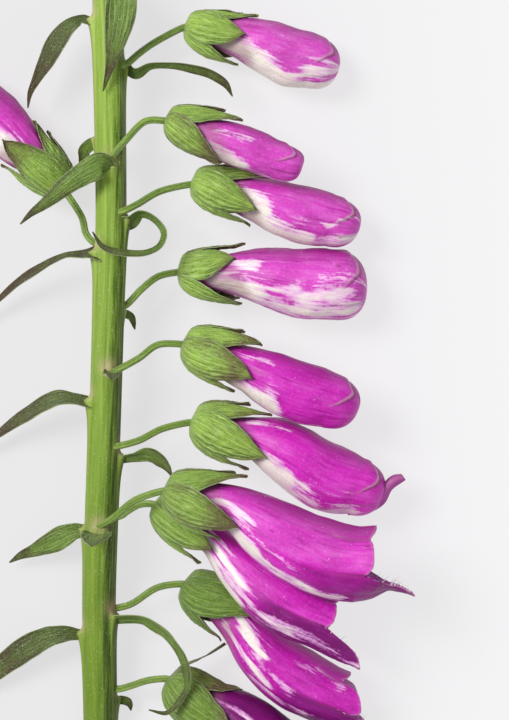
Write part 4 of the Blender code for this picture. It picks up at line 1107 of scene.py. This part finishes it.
def build_closed(key, flower):
    """A bud: its tube, rounded end, the rim of the upper lobe and the folds."""
    rows, columns = 170, 180
    end_u, end_v = flower.row["tip"]
    start = end_u - CAP
    share = np.linspace(0, 1, rows)
    blunt = flower.row.get("blunt", 0.9)
    body = flower.tube[0, 0] + (start - flower.tube[0, 0]) * np.clip(share / BODY_SHARE, 0, 1)
    turn = np.clip((share - BODY_SHARE) / (1 - BODY_SHARE), 0, 1) * np.pi / 2
    u = (body + CAP * np.sin(turn) ** blunt)[:, None]
    shrink = (np.cos(turn) * 0.985 + 0.015)[:, None] ** blunt
    angle = (np.arange(columns) * 360 / columns)[None, :]
    top, bottom, half = (x[:, None] for x in flower.tube_edges(body))
    centre = (top + bottom) / 2 * shrink + end_v * (1 - shrink)
    away = off_upper(angle)
    rim_back = smooth_at([p[0] for p in LOBE_RIM], [p[1] for p in LOBE_RIM], away)
    rim_u = end_u - rim_back * (0.92 + 0.08 * np.cos(rad(angle + 40)))
    inner = rim_u - u + 0.12 * wander(rad(angle) * 9, 0.0, int(key))
    live = 1 - fade(away, 84, 104)
    step = 0.34 * fade(inner, -0.40, 0.20) * live * (1 - fade(inner, 4.0, 12.0))
    seam = np.exp(-((inner - 0.10) / 0.27) ** 2) * live
    # painted shade just below the step of the upper lobe's rim
    groove_shade = np.exp(-((inner + 0.36) / 0.27) ** 2) * live
    fold = np.exp(-((away - FOLD_AT) / 4) ** 2) * fade(u, end_u - 9, end_u - 3)
    ribs = 0.06 * np.cos(rad(away * 5)) * fade(u, 10, 18)
    lift = step - 0.20 * fold + ribs + 0.13 * wander(u * 0.35, rad(angle) * 2, int(key))
    lift = (lift + 0.025 * wander(rad(angle) * 30, u * 0.5, 7 + int(key))) * shrink
    v = centre + ((top - bottom) / 2 * shrink + lift) * np.cos(rad(angle))
    w = (half * shrink + lift) * np.sin(rad(angle))
    points = flower.place(np.broadcast_to(u, v.shape), v, w)
    # the fold's crease also gets painted shade
    layers = tube_layers(flower, u, angle, seam, np.maximum(groove_shade, fold * 0.5), 0.0)
    faces = grid_faces(rows, columns, True)
    points, layers = points.reshape(-1, 3), {k: v.ravel() for k, v in layers.items()}
    if "tongue" in flower.row:
        points, faces, layers = joined([(points, faces, layers), tongue_part(flower)])
    make_piece(f"corolla_{key}_petals", points, faces, layers, PETAL_SKIN,
               [f"corolla_{key}"], end_caps(rows, columns))


for key, flower in closed_flowers.items():
    build_closed(key, flower)
print("closed flowers:", ", ".join(closed_flowers))

# %% [markdown]
# ### Open flowers
# An open tube ends in four short rounded lobes and one long lower lip that curls. The
# outside and the inside are one sheet: the grid runs from the base out to the petals' free
# edge, turns over it, and runs back down inside.

# %% Build the open flowers
# degrees from the upper side, and how far the free edge reaches there, as a share of `lobe`
LOBES = ((0, 0.15), (30, 0.05), (42, -0.25), (46, -0.30), (52, 0.05), (62, 0.5), (76, 0.92),
         (88, 1.0), (95, 0.8), (102, 0.35), (114, 0.0), (180, 0.0))
UPPER_CUT, SIDE_CUT = 45, 102  # where the cuts between the lobes run, in degrees
LIP_HALF = 77.0  # half of the lip's share of the mouth, in degrees
LIP_SHARE = 0.30  # share of the grid's rows that the lip takes up at its middle
HIDDEN_ROWS = 14  # rows at the base that the inner side leaves out


def open_sheet(flower, rows, columns, seed):
    """The outer side of an open tube from its base to the free edge of the petals.

    `past` is 0 on the tube and grows to 1 at the end of the lip.
    """
    start, last = flower.tube[0], flower.tube[-1]
    angle = (np.arange(columns) * 360 / columns)[None, :]
    away = off_upper(angle)
    share = np.linspace(0, 1, rows)[:, None]
    reach = smooth_at([p[0] for p in LOBES], [p[1] for p in LOBES], away)
    reach = reach + 0.05 * wander(rad(angle) * 7, 0.0, seed + 2)
    free_end = last[0] + flower.row["lobe"] * reach
    free_end = free_end - flower.row.get("short", 0.0) * (1 - fade(away, 34, 58))
    q = np.clip((away - 180) / LIP_HALF, -1, 0)
    tongue = np.clip(1 - np.abs(q) ** 4.5, 0, 1) ** 0.42
    lip_rows = LIP_SHARE * tongue
    on_tube = np.clip(share / (1 - lip_rows), 0, 1)
    past = tongue * np.clip((share - (1 - lip_rows)) / np.maximum(lip_rows, 1e-6), 0, 1)
    body = start[0] + (free_end - start[0]) * on_tube
    top, bottom, half = flower.tube_edges(body)
    cut = np.exp(-((away - UPPER_CUT) / 1.8) ** 2) * fade(body, last[0] - 11, last[0] - 4)
    low_cut = np.exp(-((away - SIDE_CUT) / 2.4) ** 2) * fade(body, last[0] - 12, last[0] - 1)
    ribs = 0.07 * np.cos(rad(away * 6)) * fade(body, 10, 20)
    uneven = 0.18 * wander(body * 0.3, rad(angle) * 2, seed) * fade(body, 14, 40)
    fine = 0.025 * wander(rad(angle) * 30, body * 0.5, seed + 5)
    lift = ribs + uneven + fine - 0.30 * cut - 0.30 * low_cut
    lift = lift + flower.row["flare"] * fade(body, last[0] - 5, last[0] + 1.5) ** 2
    lip = np.vstack([[last[0], last[2]], flower.row["lip"]]) - [last[0], last[2]]
    lip_u = smooth_at(np.arange(len(lip)), lip[:, 0], past * (len(lip) - 1))
    lip_v = smooth_at(np.arange(len(lip)), lip[:, 1], past * (len(lip) - 1))
    gutter, run = flower.row["gutter"]
    closing = 1 - (1 - gutter) * fade(past, 0, run)
    slim = 1 - 0.66 * fade(past, 0, 0.95)
    ruffle = 0.22 * wander(past * 7, q * 3, seed + 4) * past
    high = ((top - bottom) / 2 + lift) * closing + 1.0 * fade(past, 0.62, 0.9)
    v = bottom + lip_v + high * (1 + np.cos(rad(angle))) - lift * (1 - past) + ruffle
    v = np.where(past > 0, v, (top + bottom) / 2 + high * np.cos(rad(angle)))
    w = (half + lift) * slim * np.sin(rad(angle))
    u = body + lip_u - 0.8 * past * (1 + np.cos(rad(angle)))
    points = flower.place(u, v, w)
    return points, body + 8 * past, angle, cut, low_cut, past


def lip_hairs(flower, key, outer, lip):
    """Short pale hairs on the upper face of the lip."""
    rng = np.random.default_rng(70 + int(key))
    near = np.argwhere((lip > 0.12) & (lip < 0.9))
    parts = []
    for row, column in near[rng.choice(len(near), 46, replace=False)]:
        foot = outer[row, column]
        bend = flower.upper + flower.along * rng.uniform(-0.1, 0.45)
        bend = unit(bend + flower.side * rng.uniform(-0.25, 0.25))
        tall = rng.uniform(1.3, 2.4)
        path = smooth_path([foot, foot + bend * tall * 0.5,
                            foot + bend * tall + flower.along * 0.25], 5)
        rows = tube_rows(path, 0.05 * np.array([1, 0.9, 0.7, 0.5, 0.15]), 4)
        parts.append((rows.reshape(-1, 3), grid_faces(5, 4, True), {}))
    points, faces, _ = joined(parts)
    make_piece(f"lip_hairs_{key}", points, faces, {}, HAIR_SKIN)


def build_open(key, flower):
    """An open tube: outer side, margin and inner side as one grid, and the lip's hairs."""
    rows, columns = 140, 156
    outer, u, angle, cut, low_cut, lip = open_sheet(flower, rows, columns, 40 + int(key))
    normal = tube_normals(outer)
    middle = outer.mean(axis=1, keepdims=True)
    if np.sum((normal * (outer - middle))[:rows // 2]) < 0:
        normal = -normal
    wall = 0.40 - 0.22 * fade(np.arange(rows), rows * 0.8, rows - 1)[:, None, None]
    inner = (outer - normal * wall)[HIDDEN_ROWS:][::-1]
    grid = np.concatenate([outer, inner])
    shape = outer.shape[:2]
    u, angle = np.broadcast_to(u, shape), np.broadcast_to(angle, shape)
    margin = np.exp(-((rows - 1 - np.arange(rows)) / 1.1) ** 2)[:, None]
    line = np.maximum(0.35 * np.exp(-((cut - 0.5) / 0.2) ** 2), margin * 0.5)
    # painted shade in the cuts between the lobes
    out = tube_layers(flower, u, angle, line, np.maximum(cut, low_cut) * 0.9, 0.0)
    inn = tube_layers(flower, u, angle, line, 0.0, 1.0)
    low_part = fade(off_upper(angle), 97, 108) * fade(u, 22, 35)
    out["deep"] = np.clip(out["deep"] + 0.62 * low_part + 0.1 * fade(lip, 0.0, 0.5), 0, 1)
    inn["deep"] = np.clip(inn["deep"] + 0.9 * fade(lip, 0.0, 0.4), 0, 1)
    layers = {k: np.concatenate([out[k], inn[k][HIDDEN_ROWS:][::-1]]) for k in out}
    make_piece(f"corolla_{key}_petals", grid, grid_faces(len(grid), columns, True), layers,
               PETAL_SKIN, [f"corolla_{key}"], end_caps(len(grid), columns))
    lip_hairs(flower, key, inner[::-1], lip[HIDDEN_ROWS:])


for key, flower in open_flowers.items():
    build_open(key, flower)
print("open flowers:", ", ".join(open_flowers))

# %% [markdown]
# ### Pistil and stamens
# Under the tube's upper wall lie one pistil and four stamens with yellow anthers. They
# are cream, smooth and slightly glossy, like wet thread.

# %% Build pistils and stamens
def thread_piece(name, path, radii, columns, finish, nodes=()):
    rows = tube_rows(path, radii, columns)
    make_piece(name, rows, grid_faces(len(rows), columns, True), {}, finish, nodes,
               end_caps(len(rows), columns))


# how far each stamen lies to the side, and how far short of the pistil it ends
STAMENS = ((-1.7, 5.0), (1.7, 5.0), (-0.9, 9.5), (0.9, 9.5))


def build_insides(key, flower):
    """One pistil with its ovary, and four stamens, each with a two-lobed anther."""
    start, end = flower.tube[2, 0] + 0.8, flower.tube[-1, 0] - 3.0
    u = np.linspace(start, end, 40)
    share = np.linspace(0, 1, 40)
    top, _, _ = flower.tube_edges(u)
    line = flower.place(u, top - 2.3 - 0.4 * share, 0.06 * np.sin(share * 7))
    radii = np.interp(share, (0, 0.1, 0.24, 0.9, 0.96, 1.0), (0.8, 0.75, 0.38, 0.34, 0.42, 0.2))
    thread_piece(f"pistil_{key}_style", line, radii, 12, STYLE_SKIN, [f"pistil_{key}"])
    for number, (across, back) in enumerate(STAMENS, 1):
        u = np.linspace(start + 1, end - back, 30)
        top, _, _ = flower.tube_edges(u)
        side = across * np.linspace(1.25, 1.0, 30)
        line = flower.place(u, top - 1.7 - 0.12 * side ** 2, side)
        thread_piece(f"filament_{key}_{number}", line, np.full(30, 0.22), 8, STYLE_SKIN)
        for letter, lobe in (("a", -1), ("b", 1)):
            s = np.linspace(-1, 1, 14)
            middle = line[-1] + flower.side * 0.42 * lobe - flower.upper * 0.35
            bean = middle + (flower.along * 1.0 + flower.side * 0.35 * lobe) * s[:, None]
            thread_piece(f"anther_{key}_{number}_{letter}", bean,
                         0.46 * np.sqrt(1.02 - s ** 2), 12, ANTHER_SKIN)


for key, flower in open_flowers.items():
    build_insides(key, flower)
print("pieces so far:", len(pieces))

# %% [markdown]
# ## The young tip
# Towards the tip the buds are ever smaller and still shut in their sepals. Each is a short
# stalk, a pale bud and five overlapping sepals made with the same blades as the calyxes.

# %% Measures and finish of the tip
# height on the stem, side angle and length
TIP_BUDS = ((152.6, 88, 12.5), (154.5, 15, 14.0), (160.0, 165, 13.0), (166.0, 75, 11.5),
            (171.5, 0, 10.5), (176.5, 185, 9.5), (182.0, 95, 8.0), (186.5, 10, 7.0))
TIP_BRACTS = ((152.6, 5, 12.0), (158.0, 175, 11.0), (164.4, 80, 10.0), (169.6, -10, 8.5),
              (174.8, 190, 7.5), (180.2, 85, 6.5), (185.0, 0, 5.5))
BUD_SKIN = leaf_skin("young_bud_skin", "#86AA3E", "#7C9C3A", "#B4CC7C", "#A0BC68",
                     "#587A24", "#7A6A44", 0.75)


def leaning(h, side, rise):
    """A direction out of the stem's side, raised toward the tip by `rise` degrees."""
    _, away = on_stem(h, side)
    up = unit(stem_centre(h + 3) - stem_centre(h))
    return unit(away * math.cos(rad(rise)) + up * math.sin(rad(rise)))


print("young buds and bracts:", len(TIP_BUDS), len(TIP_BRACTS))

# %% [markdown]
# ### Young buds
# Each bud is three kinds of part in one piece: the stalk, the five sepals, and the pale
# heart of the bud that shows between the sepals' tips.

# %% Build the young buds
def round_part(path, radii, tone):
    """A smooth green tube round a line; `tone` is its share of the underside's colour."""
    count, columns = len(path), 16
    rows = tube_rows(path, radii, columns)
    layers = {"across": np.tile(np.linspace(-0.8, 0.8, columns), count), "along": 0.0,
              "under": tone, "tint": 0.0}
    return rows.reshape(-1, 3), grid_faces(count, columns, True), layers


def bud_parts(start, away, lean, length, seed):
    """A stalk and a pointed bud wrapped in five sepals."""
    path = smooth_path([start - away * 0.5, start + away * 0.10 * length,
                        start + lean * 0.42 * length], 24)
    across = unit(np.cross(lean, away))
    upper = np.cross(across, lean)
    radii = length * np.interp(np.linspace(0, 1, 24), (0, 0.2, 0.8, 1), (0.09, 0.06, 0.065, 0.1))
    parts = [round_part(path, radii, 0.3)]
    base = start + lean * 0.36 * length
    size = 0.62 * length
    s, q = sheet_axes(30, 17)
    for k in range(5):
        spread = 46 * smooth_at((0, 0.2, 0.6, 0.85, 1.0), (0.9, 1.0, 0.85, 0.5, 0.04), s)
        angle = rad(72 * k + 10 * seed + spread * q)
        girth = length * smooth_at((0, 0.1, 0.35, 0.7, 1.0), (0.07, 0.17, 0.215, 0.15, 0.05), s)
        lift = 0.02 * length * ((k * 2) % 5) / 4 + 0.05 * np.cos(q * VEINS * 2 * np.pi) * (1 - s)
        out = girth + lift + 0.02 * length * s ** 3
        outer, inner = (base + lean * (size * s)[..., None]
                        + upper * (r * np.cos(angle))[..., None]
                        + across * (r * np.sin(angle))[..., None]
                        for r in (out, out - 0.022 * length))
        parts.append(leaf_sheet(outer, inner, {"across": q, "along": s, "tint": 0.1}))
    heart = smooth_path([base, base + lean * size * 0.98], 20)
    girths = length * np.interp(np.linspace(0, 1, 20), (0, 0.2, 0.5, 0.8, 1.0),
                                (0.05, 0.17, 0.18, 0.10, 0.01))
    return [*parts, round_part(heart, girths, 0.0)]


for i, (h, side, length) in enumerate(TIP_BUDS):
    seat, away = on_stem(h, side)
    points, faces, layers = joined(bud_parts(seat, away, leaning(h, side, 42), length, i))
    made = make_piece(f"tip_bud_{i + 1:02d}_green", points, faces, layers, BUD_SKIN,
                      [f"tip_bud_{i + 1:02d}"])
print("points of the last bud:", len(made.data.vertices))

# %% [markdown]
# ### Young bracts
# The bracts between the young buds are short blades of the same kind as the large ones,
# and bend outward and down.

# %% Build the young bracts
for i, (h, side, length) in enumerate(TIP_BRACTS):
    seat, away = on_stem(h, side)
    lean, droop = leaning(h, side, -12), leaning(h, side, -55)
    half = 0.13 * length
    bend = seat + away * 0.25 * length
    rows = [(*(seat - away * 0.6), half * 0.8), (*(seat + away * 0.4), half * 0.8), (*bend, half),
            (*(bend + lean * 0.35 * length), half * 0.85),
            (*(seat + away * 0.3 * length + lean * 0.3 * length + droop * 0.4 * length), 0.1)]
    roll = 0 if abs(math.sin(rad(side))) > 0.7 else 60
    points, faces, layers = blade(rows, (roll, roll / 2), 60 + i, samples=44, columns=17)
    made = make_piece(f"tip_bract_{i + 1:02d}_leaf", points, faces, layers, BRACT_SKIN,
                      [f"tip_bract_{i + 1:02d}"])
print("points of the last young bract:", len(made.data.vertices))

# %% [markdown]
# ### The growing point
# The stem ends in a knot of scales too young to part. They follow the golden angle of
# 137.5 degrees, as the leaves of most plants do.

# %% Build the growing point
def build_apex():
    """Small scales in a spiral, each half over the next."""
    base = stem_centre(STEM_TIP) + np.array([0, -0.4, 0])
    up = unit(stem_centre(STEM_TIP) - stem_centre(STEM_TIP - 6))
    across = unit(np.cross(up, (0, 0, 1.0)))
    other = np.cross(across, up)
    s, q = sheet_axes(18, 9)
    parts = []
    for k in range(16):
        turn = rad(137.5 * k)
        out = across * math.cos(turn) + other * math.sin(turn)
        foot, girth = base + up * 0.32 * k, 1.35 * (1 - k / 20)
        rows = [(*(foot + out * 0.3), 0.5), (*(foot + out * girth + up * 0.7), 0.85 * girth),
                (*(foot + out * girth * 1.1 + up * 1.9), 0.7 * girth),
                (*(foot + out * girth * 0.35 + up * 3.0), 0.08)]
        rows = smooth_path(rows, len(s))
        half = rows[:, None, 3]
        spot = (rows[:, None, :3] + np.cross(up, out) * (half * q)[..., None]
                + out * (-0.35 * half * q ** 2)[..., None])
        parts.append(leaf_sheet(spot, spot - out * 0.14, {"across": q, "along": s, "tint": 0.05}))
    points, faces, layers = joined(parts)
    make_piece("tip_apex_scales", points, faces, layers, BUD_SKIN, ["tip_apex"])


build_apex()
print("pieces:", len(pieces))

# %% [markdown]
# ## Table, light and camera
# The spike lies on a pale table under soft studio light. The table glows, and this painted
# light fills in nearly all of the spike's shadows on it. The camera looks straight down on
# it, with a long lens so that nothing is stretched.

# %% Table, light and camera
VIEW_HEIGHT = 0.144  # metres of the spike that the view takes in from top to bottom
VIEW_CENTRE = (50.9, 72.0, 11.0)  # what the camera looks at, in the spike's measures


def table_surface():
    """Pale panel with a faint, soft mottle; it glows, and this painted light fills in its
    shadows.
    """
    panel = Finish("table_pale_glowing_panel")
    place = panel.place()
    colour = panel.mixed(panel.noise(place, 12.0), "#626163", "#646364")
    side = node(panel.tree, "ShaderNodeSeparateXYZ", {"Vector": place}).outputs["X"]
    # painted light: the glow rises from left to right across the table, as a falloff of light
    glow = panel.remap(side, -0.06, 0.08, 0.66, 0.79)
    panel.tree.links.new(glow, panel.shader.inputs["Emission Strength"])
    return panel.finished(colour, None, {"Emission Color": linear("#FBFAFB"), "Roughness": 0.9})


def put(name, data, place=(0, 0, 0)):
    """An object of the scene that is no part of the spike."""
    held = bpy.data.objects.new(name, data)
    held.location = place
    bpy.context.scene.collection.objects.link(held)
    return held


def build_setting():
    mesh = bpy.data.meshes.new("table")
    size = 3.0
    mesh.from_pydata([(-size, -size, 0), (size, -size, 0), (size, size, 0), (-size, size, 0)],
                     [], [(0, 1, 2, 3)])
    mesh.materials.append(table_surface())
    put("table", mesh)
    world = bpy.data.worlds.new("studio")
    world.use_nodes = True
    backdrop = world.node_tree.nodes["Background"]
    backdrop.inputs["Color"].default_value = linear("#F6F7FA")
    backdrop.inputs["Strength"].default_value = 0.44
    bpy.context.scene.world = world
    for name, place, size, power in (("window", (-0.9, 0.5, 1.3), 0.7, 27.0),
                                     ("fill", (0.9, -0.8, 1.5), 1.2, 5.0)):
        lamp = bpy.data.lights.new(name, "AREA")
        lamp.energy, lamp.size = power, size
        aim = -np.array(place)
        put(name, lamp, place).rotation_euler = (
            math.atan2(math.hypot(aim[0], aim[1]), -aim[2]), 0,
            math.atan2(aim[1], aim[0]) - math.pi / 2)
    eye = bpy.data.cameras.new("eye")
    eye.lens, eye.sensor_fit = 100.0, "VERTICAL"
    eye.sensor_width = eye.sensor_height = 36.0
    middle = (np.array(VIEW_CENTRE) - SPIKE["shift"]) * MM
    above = middle[2] + VIEW_HEIGHT * eye.lens / eye.sensor_height
    bpy.context.scene.camera = put("eye", eye, (middle[0], middle[1], above))
    bpy.context.scene.view_settings.view_transform = "Standard"
    print("camera at", [round(x, 4) for x in bpy.context.scene.camera.location])


build_setting()
